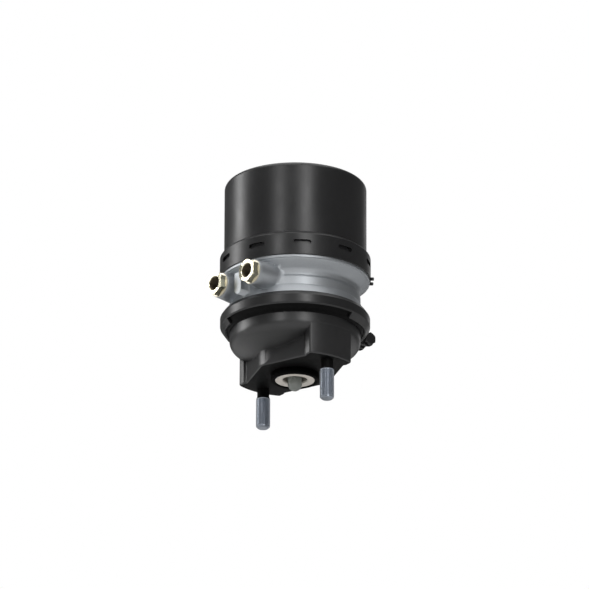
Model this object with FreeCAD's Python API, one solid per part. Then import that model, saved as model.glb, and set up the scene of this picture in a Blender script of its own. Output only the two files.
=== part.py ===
import FreeCAD, Part
import math
import os

# Spring-brake actuator for a truck disc brake: a combination air cylinder.
# The mounting face that bolts to the brake caliper lies in z = 0, the two studs lie on the X axis,
# and the canister with the parking spring stands above on +Z. All lengths are millimetres.
# The pieces stand as they do with the parking spring caged and the push rod drawn in.

# Mounting face, studs and mouth
STUD_SPACING = 120.65
STUD_D = 16.0
STUD_NECK_D = 13.6
STUD_NECK_LENGTH = 9.0
STUD_CONE = 3.2
STUD_REACH = 46.4
STUD_CHAMFER = 1.6
STUD_EMBED = 15.0
STUD_HEAD_D = 25.0
STUD_HEAD_LENGTH = 4.0
MOUTH_R = 23.0
MOUTH_SEAL_R = MOUTH_R + 4.0
MOUTH_SEAL_DROP = 7.6
MOUTH_SEAL_LIP = 3.0
MOUTH_SEAL_HOOK = 2.6
MOUTH_SEAL_BEVEL = 1.1
GUIDE_RING_R = MOUTH_R - 0.9
GUIDE_RING_BORE_R = 13.85
GUIDE_RING_RECESS = 0.8
GUIDE_RING_DISC = 2.6
GUIDE_RING_CHAMFER = 0.8
SLEEVE_WALL = 2.0
SLEEVE_R = MOUTH_R - 3.4

# Service housing
PAD_END_MARGIN = 12.875
PAD_END_R = STUD_SPACING / 2 + PAD_END_MARGIN
PAD_END_HALF = 28.6
PAD_MIDDLE_HALF = 47.5
PAD_CORNER_R = 17.0
PAD_END_CORNER_R = 3.0
PAD_EDGE_R = 2.4
PAD_RIB = 9.0
PAD_RIB_STEP = 2.0
PAD_RIB_R = 1.5
PAD_RIB_ROOT_R = 2.5
PAD_BASE = 8.0
PAD_RISE = 45.0
WELL_R = MOUTH_R + 17.5
WELL_CORNER_R = 3.0
BOWL_R = PAD_END_R + 0.4
BOWL_WALL = 4.6
BOWL_CORNER_R = 12.0
BOWL_FLOOR_R = WELL_R + 3.5
BOWL_FLOOR_CORNER_R = 4.0
BOWL_FLOOR_Z = PAD_BASE + 9.6
BOWL_SHOULDER_Z = BOWL_FLOOR_Z + 13.9
DRAIN_D = 8.0
DRAIN_Z = BOWL_SHOULDER_Z + 12.5
DRAIN_ANGLES = (122.0, 166.0)
DRAIN_PLUG_PROUD = 1.2
DRAIN_PLUG_INSIDE = 0.2

# Clamp joint between housing, diaphragm and flange
CLAMP_R = BOWL_R + 10.7
CLAMP_WALL = 2.4
CLAMP_SEAT_GAP = 0.1
CLAMP_BAND = 9.3
CLAMP_BAND_LOW = BOWL_SHOULDER_Z + 24.8
CLAMP_BAND_HIGH = CLAMP_BAND_LOW + CLAMP_BAND
CLAMP_MIDDLE = CLAMP_BAND_LOW + CLAMP_BAND / 2
CLAMP_FLANK_ANGLE = 55.0
CLAMP_TOP_FLANK = 6.0
CLAMP_LOW_FLANK = 9.2
CLAMP_SHORT_FLANK = 2.0
CLAMP_SHORT_FROM = -102.6
CLAMP_SHORT_TO = 13.4
CLAMP_LOW_BEND_R = 1.6
CLAMP_TOP_BEND_R = 1.2
CLAMP_SPLIT = 7.0
CLAMP_ANGLE = 90.0
EAR_THICK = 4.0
EAR_HEIGHT = 13.0
EAR_CORNER_R = 5.0
EAR_REACH = CLAMP_R + 17.7
CLAMP_BOLT_R = CLAMP_R + 11.3
CLAMP_BOLT_D = 8.0
CLAMP_BOLT_HEAD_AF = 13.0
CLAMP_BOLT_HEAD = 5.3
CLAMP_BOLT_CHAMFER = 0.8
CLAMP_NUT = 6.5
CLAMP_WASHER_D = 2 * CLAMP_BOLT_D
CLAMP_WASHER = 1.6
CLAMP_BOLT_TAIL = 4.0
RIM_LEDGE_R = CLAMP_R - 7.5
RIM_LEDGE = 1.4
RIM_LEDGE_DROP = 2.0
RIM_EDGE_R = 1.0
BEAD_LOW_Z = CLAMP_BAND_LOW + 3.9
BEAD_THICK = 3.6
DIAPHRAGM_BEAD_R = CLAMP_R - 6.3

# Aluminium flange
DRUM_R = BOWL_R - 0.1
DRUM_FOOT = 0.9
DRUM_LOW_Z = CLAMP_BAND_HIGH + 15.0
DRUM_HIGH_Z = DRUM_LOW_Z + 9.8
NECK_R = DRUM_R - 1.9
NECK_Z = DRUM_HIGH_Z + 6.3
NECK_HALF = 3.0
NECK_FLARE = 1.2
FLANGE_RIM_LOW_Z = NECK_Z + 12.8
FLANGE_RIM = 3.0
FLANGE_RIM_Z = FLANGE_RIM_LOW_Z + FLANGE_RIM
FLANGE_RIM_STEP = 1.2
FLANGE_CAVITY_R = DRUM_R - 6.5
FLANGE_CAVITY_TOP = NECK_Z - 0.7
FLANGE_CAVITY_CORNER_R = 7.0
FLANGE_CAVITY_LEAD = 3.0
FLANGE_WEB = 9.0
FLANGE_WEB_CORNER_R = 5.0
SPIGOT_TOP = FLANGE_RIM_Z + 13.5
HUB_R = 27.0
HUB_TOP = FLANGE_RIM_Z - 2.5
HUB_GROOVE_MARGIN = 1.6

# Spring canister and its locking collar
STROKE = 57.0
CANISTER_R = BOWL_R + 6.65
CANISTER_WALL = 2.4
CANISTER_CORNER_R = 5.6
CANISTER_SEAT_Z = FLANGE_RIM_Z + 5.5
CANISTER_BEAD_TOP = CANISTER_SEAT_Z + 18.4
CANISTER_BEAD_TAPER = 2.2
PLATEAU_R = CANISTER_R - 18.25
PLATEAU_RISE = 4.4
PLATEAU_SLOPE = 5.0
PLATEAU_LOW_BEND_R = 2.0
PLATEAU_TOP_BEND_R = 3.0
HUB_HOLE_R = 14.0
FLANGE_RIM_R = CANISTER_R + 3.55
COLLAR_R = FLANGE_RIM_R + 1.2
COLLAR_WALL = 3.1
COLLAR_SHOULDER_Z = CANISTER_BEAD_TOP + 1.4
COLLAR_TOP_Z = COLLAR_SHOULDER_Z + 3.9
COLLAR_EDGE_R = 0.8
COLLAR_SHOULDER_R = 2.0
COLLAR_LIP = 2.6
COLLAR_LIP_R = CANISTER_R - 0.45
WINDOW_COUNT = 10
WINDOW_ANGLE = -31.0
WINDOW_LENGTH = 20.0
WINDOW_HEIGHT = 5.4
WINDOW_Z = FLANGE_RIM_Z + 14.8
LOCK_WIRE_R = 1.0
LOCK_WIRE_PATH_R = COLLAR_R - 2.6
LOCK_WIRE_END = 4.8
LOCK_WIRE_END_R = 1.9
LOCK_WIRE_NECK_R = 0.9
LOCK_WIRE_ANGLES = (51.0, 61.0)
SPIGOT_BORE_R = CANISTER_R - 9.75

# Air ports
PORT_ANGLE = -84.5
PORT_SPACING = 55.0
PORT_Z = DRUM_HIGH_Z + 2.3
PORT_FACE = DRUM_R + 24.3
PORT_HEX_AF = 24.0
PORT_HEX_DEPTH = 7.7
PORT_HEX_TURN = 30.0
PORT_COLLAR_R = 13.9
PORT_COLLAR = 1.6
PORT_BORE_R = 7.25
PORT_MOUTH_CHAMFER = 1.0
PORT_SHANK_R = 10.0
PORT_SHANK = 12.0
BOSS_R = 14.2
BOSS_ROOT_R = BOSS_R + 2.0
BOSS_START = DRUM_R - 33.5
BOSS_ROOT = DRUM_R - 7.5
DRILL_R = 3.5
DRILL_SERVICE_DROP = 4.0
DRILL_SERVICE_REACH = 20.0
DRILL_SPRING_RISE = 4.0
DRILL_SPRING_REACH = 14.0
LUG_R = 5.4
LUG_DROP = 12.0
LUG_RISE = 8.0
LUG_FACE = DRUM_R + 12.5

# Parking piston, tube and spring
PISTON_R = CANISTER_R - CANISTER_WALL - 0.85
PISTON_WEB_Z = HUB_TOP + STROKE + 9.0
PISTON_WEB = 6.0
PISTON_BOWL_R = PISTON_R - 11.0
PISTON_BOWL_CORNER_R = 3.0
PISTON_BOWL_DRAFT = 1.6
PISTON_RING_LOW = PISTON_WEB_Z + 8.5
PISTON_RING_HIGH = PISTON_RING_LOW + 18.5
PISTON_RING_FLOOR = 4.0
PISTON_WALL = 4.5
PISTON_HUB = 8.0
PISTON_HUB_RISE = 4.0
PISTON_SEAL_RISE = 2.4
PISTON_BAND_RISE = 8.6
CANISTER_TOP = PISTON_WEB_Z + 50.0
TUBE_R = 17.0
TUBE_BORE_R = TUBE_R - 3.4
TUBE_PLAY = 0.5
TUBE_SHOULDER_DROP = 2.0
TUBE_COLLAR = 1.2
FOOT_R = 26.0
FOOT_THICK = 6.0
FOOT_TAPER = 0.8
FOOT_PEG = 3.0
WIRE_SIDES = 12
POWER_WIRE_R = 5.0
POWER_SIDE_GAP = 2.5
POWER_SMALL_R = 32.0
POWER_COILS = 3.0
RETURN_WIRE_R = 2.0
RETURN_BIG_R = WELL_R - 4.5
RETURN_SMALL_R = RETURN_BIG_R - 5.0
RETURN_COILS = 3.75

# Push rod side
ROD_R = 8.0
ROD_TIP_Z = -19.3
ROD_SPIGOT_R = 6.0
PLATE_TOP_Z = FLANGE_CAVITY_TOP - 8.0
PLATE_THICK = 4.0
PLATE_EDGE_R = 1.6
DIAPHRAGM_THICK = 3.0
DIAPHRAGM_WALL_R = FLANGE_CAVITY_R - 1.5
DIAPHRAGM_CROWN_R = DIAPHRAGM_WALL_R - 11.5
DIAPHRAGM_BEND_R = 5.0
PLATE_R = DIAPHRAGM_CROWN_R - 5.0
FOOT_Z = PLATE_TOP_Z + DIAPHRAGM_THICK + 0.3
SCREW_LOW_Z = FOOT_Z + 10.7
BOOT_NECK = 8.0
BOOT_NECK_HIGH = PLATE_TOP_Z - 6.0
BOOT_NECK_LOW = BOOT_NECK_HIGH - BOOT_NECK
BOOT_NECK_WALL = 2.4
BOOT_BASE_Z = PAD_BASE + 4.5
BOOT_BASE = 3.0
BOOT_FOLDS = 5
BOOT_OUT_R = MOUTH_R - 1.5
BOOT_IN_R = 14.5
BOOT_WALL = 1.3

# Release gear
SCREW_R = 8.0
SCREW_COLLAR_R = 13.0
SCREW_COLLAR = 4.0
SCREW_CHAMFER = 1.5
SCREW_HEX_AF = 21.6
SCREW_HEX = 12.0
NUT_R = TUBE_BORE_R - 0.4
NUT_HEIGHT = 11.0
NUT_FLAT_OUT = 1.4
BUSH_FLANGE_R = 20.0
BUSH_FLANGE = 3.0
BUSH_DROP = 6.0
BUSH_HOOK = 3.0
WASHER_THICK = 2.0
WASHER_MARGIN = 1.5
CLIP_THICK = 1.6
CLIP_DEPTH = 1.2
CLIP_HEIGHT = 3.0
CLIP_GAP = 5.0

# Fits
SLIDE_GAP = 0.08
SEAT_GAP = 0.1
SOFT_GAP = 0.25
RING_DEPTH = 3.0
BAND_DEPTH = 1.8
RING_HEIGHT = 3.4
RING_RISE = 1.8
BAND_HEIGHT = 6.0
CUT_PAST = 5.0

CLIMB = math.tan(math.radians(CLAMP_FLANK_ANGLE))
STEP_IN = math.cos(math.radians(CLAMP_FLANK_ANGLE))
STEP_UP = math.sin(math.radians(CLAMP_FLANK_ANGLE))
UP = FreeCAD.Vector(0, 0, 1)
ORIGIN = FreeCAD.Vector(0, 0, 0)


def vector(x, y, z=0.0):
    return FreeCAD.Vector(x, y, z)


def polar(radius, angle, z=0.0):
    """Point at a radius and an angle in degrees about the main axis."""
    return vector(radius * math.cos(math.radians(angle)), radius * math.sin(math.radians(angle)), z)


def rounded_wire(corners):
    """Closed wire through (point, corner radius) pairs, with a tangent arc at each rounded corner."""
    stops = []
    for index, (point, radius) in enumerate(corners):
        before = (corners[index - 1][0] - point).normalize()
        after = (corners[(index + 1) % len(corners)][0] - point).normalize()
        if radius <= 0:
            stops.append((point, point, point))
            continue
        half = before.getAngle(after) / 2
        reach = radius / math.tan(half)
        centre = point + (before + after).normalize() * (radius / math.sin(half))
        middle = centre + (point - centre).normalize() * radius
        stops.append((point + before * reach, middle, point + after * reach))
    edges = []
    for index, (start, middle, end) in enumerate(stops):
        if start.distanceToPoint(end) > 1e-6:
            edges.append(Part.Arc(start, middle, end).toShape())
        following = stops[(index + 1) % len(stops)][0]
        if end.distanceToPoint(following) > 1e-6:
            edges.append(Part.LineSegment(end, following).toShape())
    return Part.Wire(edges)


def corner_list(points, place):
    """Turn (a, b) or (a, b, corner radius) tuples into the pairs that rounded_wire takes."""
    return [(place(point[0], point[1]), point[2] if len(point) > 2 else 0.0) for point in points]


def turned(points):
    """Solid of revolution about Z from (radius, z) or (radius, z, corner radius) tuples."""
    wire = rounded_wire(corner_list(points, lambda r, z: vector(r, 0, z)))
    return Part.Face(wire).revolve(ORIGIN, UP, 360)


def prism(points, low, high):
    """Upright prism from (x, y) or (x, y, corner radius) tuples, between two heights."""
    wire = rounded_wire(corner_list(points, lambda x, y: vector(x, y, low)))
    return Part.Face(wire).extrude(vector(0, 0, high - low))


def ring(inner, outer, low, high):
    """Plain ring about the main axis."""
    return turned([(inner, low), (outer, low), (outer, high), (inner, high)])


def hexagon(across_flats, depth, start, direction, turn=0.0):
    """Hexagonal prism with softened outer corners, from start along direction."""
    corner = across_flats / math.sqrt(3)
    points = [polar(corner, turn + 60 * index) for index in range(6)]
    blank = Part.Face(Part.makePolygon(points + [points[0]])).extrude(vector(0, 0, depth))
    limit = corner * 0.975
    slope = (corner - across_flats / 2) * 0.75
    turned_blank = turned([(0, 0), (limit, 0), (limit, depth - slope / 2), (limit - slope, depth),
                           (0, depth)])
    return placed(blank.common(turned_blank), start, direction)


def placed(shape, start, direction):
    """Move a shape built along +Z from the origin so that it starts at start along direction."""
    moved = shape.copy()
    moved.Placement = FreeCAD.Placement(start, FreeCAD.Rotation(UP, direction))
    return moved


def coil(big, small, wire, low, high, turns):
    """Conical coil spring whose twelve-sided wire lies between two heights, wide end at low."""
    rise = high - low - 2 * wire
    lean = math.degrees(math.atan2(big - small, rise))
    path = Part.makeLongHelix(rise / turns, rise, big, -lean)
    points = []
    for index in range(WIRE_SIDES + 1):
        turn = math.tau * index / WIRE_SIDES
        points.append(vector(big + wire * math.cos(turn), 0, wire * math.sin(turn)))
    section = Part.makePolygon(points)
    spring = Part.Wire(path.Edges).makePipeShell([section], True, True)
    spring.translate(vector(0, 0, low + wire))
    return spring


# Service housing

def pad_block():
    """Upright block of the mounting pad: two ribbed stud ends on the bowl's radius and a wider middle."""
    end_x = math.sqrt(PAD_END_R ** 2 - PAD_END_HALF ** 2)
    rib_x = end_x - PAD_RIB
    quarter = [(2 * PAD_END_R, PAD_END_HALF), (rib_x, PAD_END_HALF, PAD_RIB_R),
               (rib_x - PAD_RIB_STEP, PAD_END_HALF - PAD_RIB_STEP, PAD_RIB_ROOT_R)]
    half = [(-x, y, *corner) for x, y, *corner in quarter]
    half += [(0, PAD_MIDDLE_HALF, PAD_CORNER_R)] + quarter[::-1]
    outline = half + [(-x, -y, *corner) for x, y, *corner in half]
    block = prism(outline, 0, PAD_RISE).common(Part.makeCylinder(PAD_END_R, PAD_RISE))
    corners = [edge for edge in block.Edges
               if edge.BoundBox.ZLength > PAD_RISE - 1 and abs(edge.BoundBox.XMin) > end_x - 1
               and abs(abs(edge.BoundBox.YMin) - PAD_END_HALF) < 0.01]
    block = block.makeFillet(PAD_END_CORNER_R, corners)
    lower = [edge for edge in block.Edges if edge.BoundBox.ZMax < 0.01]
    return block.makeFillet(PAD_EDGE_R, lower)


def bowl_profile(offset):
    """Bowl outline from the rim down to the axis, moved inwards by offset."""
    lean = math.atan2(BOWL_SHOULDER_Z - BOWL_FLOOR_Z, BOWL_R - BOWL_FLOOR_R)
    rise = offset / math.cos(lean)
    shift = offset * math.tan(lean)
    corner = BOWL_CORNER_R - offset
    floor_z = BOWL_FLOOR_Z + offset
    floor_r = BOWL_FLOOR_R - (rise - offset) / math.tan(lean)
    wall_r = BOWL_R - offset
    return floor_r, floor_z, wall_r, BOWL_SHOULDER_Z + rise - shift, corner


def service_housing():
    """Black cast housing: round bowl, mounting pad with stud blocks, V rim, well, mouth and drains."""
    floor_r, floor_z, wall_r, shoulder_z, corner = bowl_profile(0)
    seat_r = CLAMP_R - CLAMP_WALL - CLAMP_SEAT_GAP
    seat_z = CLAMP_BAND_LOW + clamp_bend()
    ledge_z = seat_z - (seat_r - RIM_LEDGE_R) * CLIMB
    bowl = turned([(0, floor_z), (floor_r, floor_z, BOWL_FLOOR_CORNER_R), (wall_r, shoulder_z, corner),
                   (wall_r, ledge_z - RIM_LEDGE_DROP, RIM_EDGE_R), (RIM_LEDGE_R - RIM_LEDGE, ledge_z),
                   (RIM_LEDGE_R, ledge_z), (seat_r, seat_z, RIM_EDGE_R), (seat_r, BEAD_LOW_Z), (0, BEAD_LOW_Z)])
    body = bowl.fuse(pad_block()).removeSplitter()
    floor_r, floor_z, wall_r, shoulder_z, corner = bowl_profile(BOWL_WALL)
    top = BEAD_LOW_Z + CUT_PAST
    inside = turned([(0, floor_z), (floor_r, floor_z), (wall_r, shoulder_z, corner), (wall_r, top), (0, top)])
    well = turned([(0, PAD_BASE), (WELL_R, PAD_BASE, WELL_CORNER_R), (WELL_R, floor_z + BOWL_WALL),
                   (0, floor_z + BOWL_WALL)])
    mouth = Part.makeCylinder(MOUTH_R + SEAT_GAP, 2 * PAD_BASE, vector(0, 0, -PAD_BASE / 2))
    body = body.cut(inside).cut(well).cut(mouth)
    keep = Part.makeCylinder(wall_r - SEAT_GAP / 2, top)
    for side in (-1, 1):
        x = side * STUD_SPACING / 2
        body = body.cut(Part.makeCylinder(STUD_D / 2, 2 * STUD_REACH, vector(x, 0, -STUD_REACH)))
        head = Part.makeCylinder(STUD_HEAD_D / 2, BEAD_LOW_Z, vector(x, 0, STUD_EMBED))
        body = body.cut(head.common(keep))
    for angle in DRAIN_ANGLES:
        start = polar(BOWL_R + CUT_PAST, angle, DRAIN_Z)
        body = body.cut(Part.makeCylinder(DRAIN_D / 2, 4 * BOWL_WALL, start, polar(-1, angle)))
    return body


def drain_plugs():
    """Rubber plugs in the housing's drain holes."""
    plugs = []
    for angle in DRAIN_ANGLES:
        inner = polar(BOWL_R - BOWL_WALL - DRAIN_PLUG_INSIDE, angle, DRAIN_Z)
        length = DRAIN_PLUG_INSIDE + BOWL_WALL + DRAIN_PLUG_PROUD
        plugs.append(Part.makeCylinder(DRAIN_D / 2 - SEAT_GAP, length, inner, polar(1, angle)))
    return Part.makeCompound(plugs)


def mounting_studs():
    """The two mounting studs: pressed head inside, bare neck, cone and full thread diameter."""
    cone_z = -STUD_NECK_LENGTH - STUD_CONE
    neck = STUD_NECK_D / 2
    full = STUD_D / 2
    outline = [(0, -STUD_REACH), (full - STUD_CHAMFER, -STUD_REACH), (full, -STUD_REACH + STUD_CHAMFER),
               (full, cone_z), (neck, -STUD_NECK_LENGTH), (neck, 0), (full, 0), (full, STUD_EMBED),
               (STUD_HEAD_D / 2 - SEAT_GAP, STUD_EMBED),
               (STUD_HEAD_D / 2 - SEAT_GAP, STUD_EMBED + STUD_HEAD_LENGTH),
               (0, STUD_EMBED + STUD_HEAD_LENGTH)]
    stud = turned(outline)
    outside = ring(BOWL_R - BOWL_WALL - SEAT_GAP, 2 * BOWL_R, STUD_EMBED, BEAD_LOW_Z)
    pair = []
    for side in (-1, 1):
        copy = stud.copy()
        copy.translate(vector(side * STUD_SPACING / 2, 0, 0))
        pair.append(copy.cut(outside))
    return Part.makeCompound(pair)


def mouth_seal():
    """Rubber ring that stands out of the mouth and seals against the caliper."""
    back = PAD_BASE + MOUTH_SEAL_LIP
    inner = GUIDE_RING_R
    hook_r = MOUTH_R + MOUTH_SEAL_HOOK
    step_z = -MOUTH_SEAL_DROP + GUIDE_RING_RECESS + GUIDE_RING_DISC
    return turned([(inner, -MOUTH_SEAL_DROP + MOUTH_SEAL_BEVEL), (inner + MOUTH_SEAL_BEVEL, -MOUTH_SEAL_DROP),
                   (MOUTH_SEAL_R, -MOUTH_SEAL_DROP, 1.5 * MOUTH_SEAL_BEVEL), (MOUTH_SEAL_R, 0), (MOUTH_R, 0),
                   (MOUTH_R, PAD_BASE), (hook_r, PAD_BASE), (hook_r, back), (SLEEVE_R, back), (SLEEVE_R, step_z),
                   (inner, step_z)])


def guide_ring():
    """Pale plastic ring in the mouth seal, with the sleeve that holds the rubber open."""
    low = -MOUTH_SEAL_DROP + GUIDE_RING_RECESS
    high = low + GUIDE_RING_DISC
    sleeve = SLEEVE_R - SEAT_GAP
    edge = GUIDE_RING_CHAMFER
    top = BOOT_BASE_Z - 2 * SEAT_GAP
    return turned([(GUIDE_RING_BORE_R, low + edge), (GUIDE_RING_BORE_R + edge, low),
                   (GUIDE_RING_R - SEAT_GAP, low), (GUIDE_RING_R - SEAT_GAP, high - SEAT_GAP),
                   (sleeve, high - SEAT_GAP), (sleeve, top), (sleeve - SLEEVE_WALL, top),
                   (sleeve - SLEEVE_WALL, high + edge), (GUIDE_RING_BORE_R, high)])


# Clamp

def clamp_bend():
    """How far the band's straight inner wall falls short of the outer one at each flank."""
    return CLAMP_WALL * (1 - STEP_IN) / STEP_UP


def clamp_section(low_flank):
    """V band section: outer band with a long upper flank and a lower flank of the given length."""
    top_r = CLAMP_R - CLAMP_TOP_FLANK * STEP_IN
    top_z = CLAMP_BAND_HIGH + CLAMP_TOP_FLANK * STEP_UP
    low_r = CLAMP_R - low_flank * STEP_IN
    low_z = CLAMP_BAND_LOW - low_flank * STEP_UP
    in_r = CLAMP_WALL * STEP_UP
    in_z = CLAMP_WALL * STEP_IN
    bend = clamp_bend()
    return [(CLAMP_R, CLAMP_BAND_LOW, CLAMP_LOW_BEND_R), (CLAMP_R, CLAMP_BAND_HIGH, CLAMP_TOP_BEND_R),
            (top_r, top_z), (top_r - in_r, top_z - in_z), (CLAMP_R - CLAMP_WALL, CLAMP_BAND_HIGH - bend),
            (CLAMP_R - CLAMP_WALL, CLAMP_BAND_LOW + bend), (low_r - in_r, low_z + in_z), (low_r, low_z)]


def sector(start, end, radius, low, high):
    """Upright wedge between two angles, for cutting turned pieces."""
    wedge = Part.makeCylinder(radius, high - low, vector(0, 0, low), UP, (end - start) % 360)
    wedge.rotate(ORIGIN, UP, start)
    return wedge


def clamp_ring():
    """V clamp with a cut-back lower flank on the port side, split and closed by two ears."""
    low = CLAMP_BAND_LOW - CLAMP_LOW_FLANK
    high = CLAMP_BAND_HIGH + CLAMP_TOP_FLANK
    window = sector(CLAMP_SHORT_FROM, CLAMP_SHORT_TO, 2 * CLAMP_R, low, high)
    long_part = turned(clamp_section(CLAMP_LOW_FLANK)).cut(window)
    short_part = turned(clamp_section(CLAMP_SHORT_FLANK)).common(window)
    band = long_part.fuse(short_part)
    split = Part.makeBox(CLAMP_SPLIT, 3 * CLAMP_R, high - low, vector(-CLAMP_SPLIT / 2, 0, low))
    ear_low = CLAMP_MIDDLE - EAR_HEIGHT / 2
    ear_high = CLAMP_MIDDLE + EAR_HEIGHT / 2
    root = CLAMP_R - CLAMP_WALL
    pieces = [band.cut(split)]
    for side in (-1, 1):
        x = CLAMP_SPLIT / 2 if side > 0 else -CLAMP_SPLIT / 2 - EAR_THICK
        plate = [(root, ear_low), (EAR_REACH, ear_low, EAR_CORNER_R), (EAR_REACH, ear_high, EAR_CORNER_R),
                 (root, ear_high)]
        wire = rounded_wire(corner_list(plate, lambda y, z: vector(x, y, z)))
        ear = Part.Face(wire).extrude(vector(EAR_THICK, 0, 0))
        inner = Part.makeCylinder(CLAMP_R - CLAMP_WALL / 2, high - low, vector(0, 0, low))
        pieces.append(ear.cut(inner))
    body = pieces[0].fuse(pieces[1:])
    return on_clamp(body.cut(clamp_bore(CLAMP_BOLT_D / 2 + SEAT_GAP)).removeSplitter())


def clamp_bolt_start():
    """Outer face of the ear that the bolt head's washer lies on, as a distance from the split's middle."""
    return CLAMP_SPLIT / 2 + EAR_THICK


def clamp_bore(radius):
    """Cutter along the clamp bolt, through both ears and the nut."""
    half = clamp_bolt_start() + CLAMP_WASHER + CLAMP_NUT + CUT_PAST
    return Part.makeCylinder(radius, 2 * half, vector(-half, CLAMP_BOLT_R, CLAMP_MIDDLE), vector(1, 0, 0))


def on_clamp(shape):
    """Turn a piece built on the +Y ear pair to the clamp's own angle."""
    shape.rotate(ORIGIN, UP, CLAMP_ANGLE - 90)
    return shape


def clamp_bolt():
    """Bolt that closes the clamp, head on the +X side."""
    head_x = clamp_bolt_start() + CLAMP_WASHER
    tail_x = -(head_x + CLAMP_NUT + CLAMP_BOLT_TAIL)
    along = vector(1, 0, 0)
    radius = CLAMP_BOLT_D / 2
    shank = turned([(0, 0), (radius - CLAMP_BOLT_CHAMFER, 0), (radius, CLAMP_BOLT_CHAMFER),
                    (radius, head_x - tail_x), (0, head_x - tail_x)])
    shank = placed(shank, vector(tail_x, CLAMP_BOLT_R, CLAMP_MIDDLE), along)
    head = hexagon(CLAMP_BOLT_HEAD_AF, CLAMP_BOLT_HEAD, vector(head_x, CLAMP_BOLT_R, CLAMP_MIDDLE), along)
    return on_clamp(shank.fuse(head))


def clamp_nut():
    """Nut on the tail of the clamp bolt."""
    start = vector(-clamp_bolt_start() - CLAMP_WASHER, CLAMP_BOLT_R, CLAMP_MIDDLE)
    nut = hexagon(CLAMP_BOLT_HEAD_AF, CLAMP_NUT, start, vector(-1, 0, 0))
    return on_clamp(nut.cut(clamp_bore(CLAMP_BOLT_D / 2)))


def clamp_washers():
    """Washers under the clamp bolt's head and nut."""
    washer = ring(CLAMP_BOLT_D / 2, CLAMP_WASHER_D / 2, 0, CLAMP_WASHER)
    pair = []
    for side in (-1, 1):
        start = vector(side * clamp_bolt_start(), CLAMP_BOLT_R, CLAMP_MIDDLE)
        pair.append(on_clamp(placed(washer, start, vector(side, 0, 0))))
    return Part.makeCompound(pair)


# Aluminium flange and ports

def port_direction():
    """Direction in which both ports open."""
    return polar(1, PORT_ANGLE)


def port_point(side, distance, z=PORT_Z):
    """Point on a port's axis, at a distance from the main axis along the port."""
    across = polar(side * PORT_SPACING / 2, PORT_ANGLE + 90)
    return across + polar(distance, PORT_ANGLE, z)


def flange_outline():
    """Outside of the flange from its clamp seat up to the spigot that enters the canister."""
    seat_low_r = CLAMP_R - CLAMP_WALL - CLAMP_SEAT_GAP
    seat_low_z = CLAMP_BAND_HIGH - clamp_bend()
    seat_top_r = CLAMP_R - CLAMP_TOP_FLANK * STEP_IN - CLAMP_WALL * STEP_UP - CLAMP_SEAT_GAP
    seat_top_z = seat_low_z + (seat_low_r - seat_top_r) * CLIMB
    groove_r = COLLAR_LIP_R - SEAT_GAP
    bead_r = COLLAR_R - COLLAR_WALL - SEAT_GAP
    spigot_r = spigot_radius()
    lip_top = FLANGE_RIM_Z + COLLAR_LIP + SEAT_GAP
    rim_r = FLANGE_RIM_R - FLANGE_RIM_STEP
    return [(seat_low_r, BEAD_LOW_Z + BEAD_THICK), (seat_low_r, seat_low_z), (seat_top_r, seat_top_z),
            (seat_top_r - CLAMP_SEAT_GAP, seat_top_z + NECK_FLARE, NECK_FLARE / 2),
            (DRUM_R + DRUM_FOOT, DRUM_LOW_Z, 3.0 * DRUM_FOOT), (DRUM_R, DRUM_LOW_Z + DRUM_FOOT),
            (DRUM_R, DRUM_HIGH_Z, NECK_FLARE), (NECK_R, NECK_Z - NECK_HALF, NECK_HALF),
            (NECK_R + NECK_FLARE, NECK_Z + NECK_HALF, 2 * NECK_HALF),
            (rim_r - FLANGE_RIM_STEP / 3, FLANGE_RIM_LOW_Z - FLANGE_RIM_STEP, FLANGE_RIM_STEP / 2),
            (rim_r, FLANGE_RIM_LOW_Z), (FLANGE_RIM_R, FLANGE_RIM_LOW_Z, FLANGE_RIM_STEP / 3),
            (FLANGE_RIM_R, FLANGE_RIM_Z), (groove_r, FLANGE_RIM_Z), (groove_r, lip_top), (bead_r, lip_top),
            (bead_r, CANISTER_SEAT_Z),
            (spigot_r, CANISTER_SEAT_Z), (spigot_r, SPIGOT_TOP)]


def ring_groove(outside, depth, low, height):
    """Cutter for a ring groove in an outer wall of the given radius."""
    return ring(outside - depth, outside + CUT_PAST, low, low + height)


def spigot_radius():
    """Outside of the flange's spigot, inside the canister's bead."""
    return COLLAR_R - COLLAR_WALL - SEAT_GAP - CANISTER_WALL - SEAT_GAP


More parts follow.
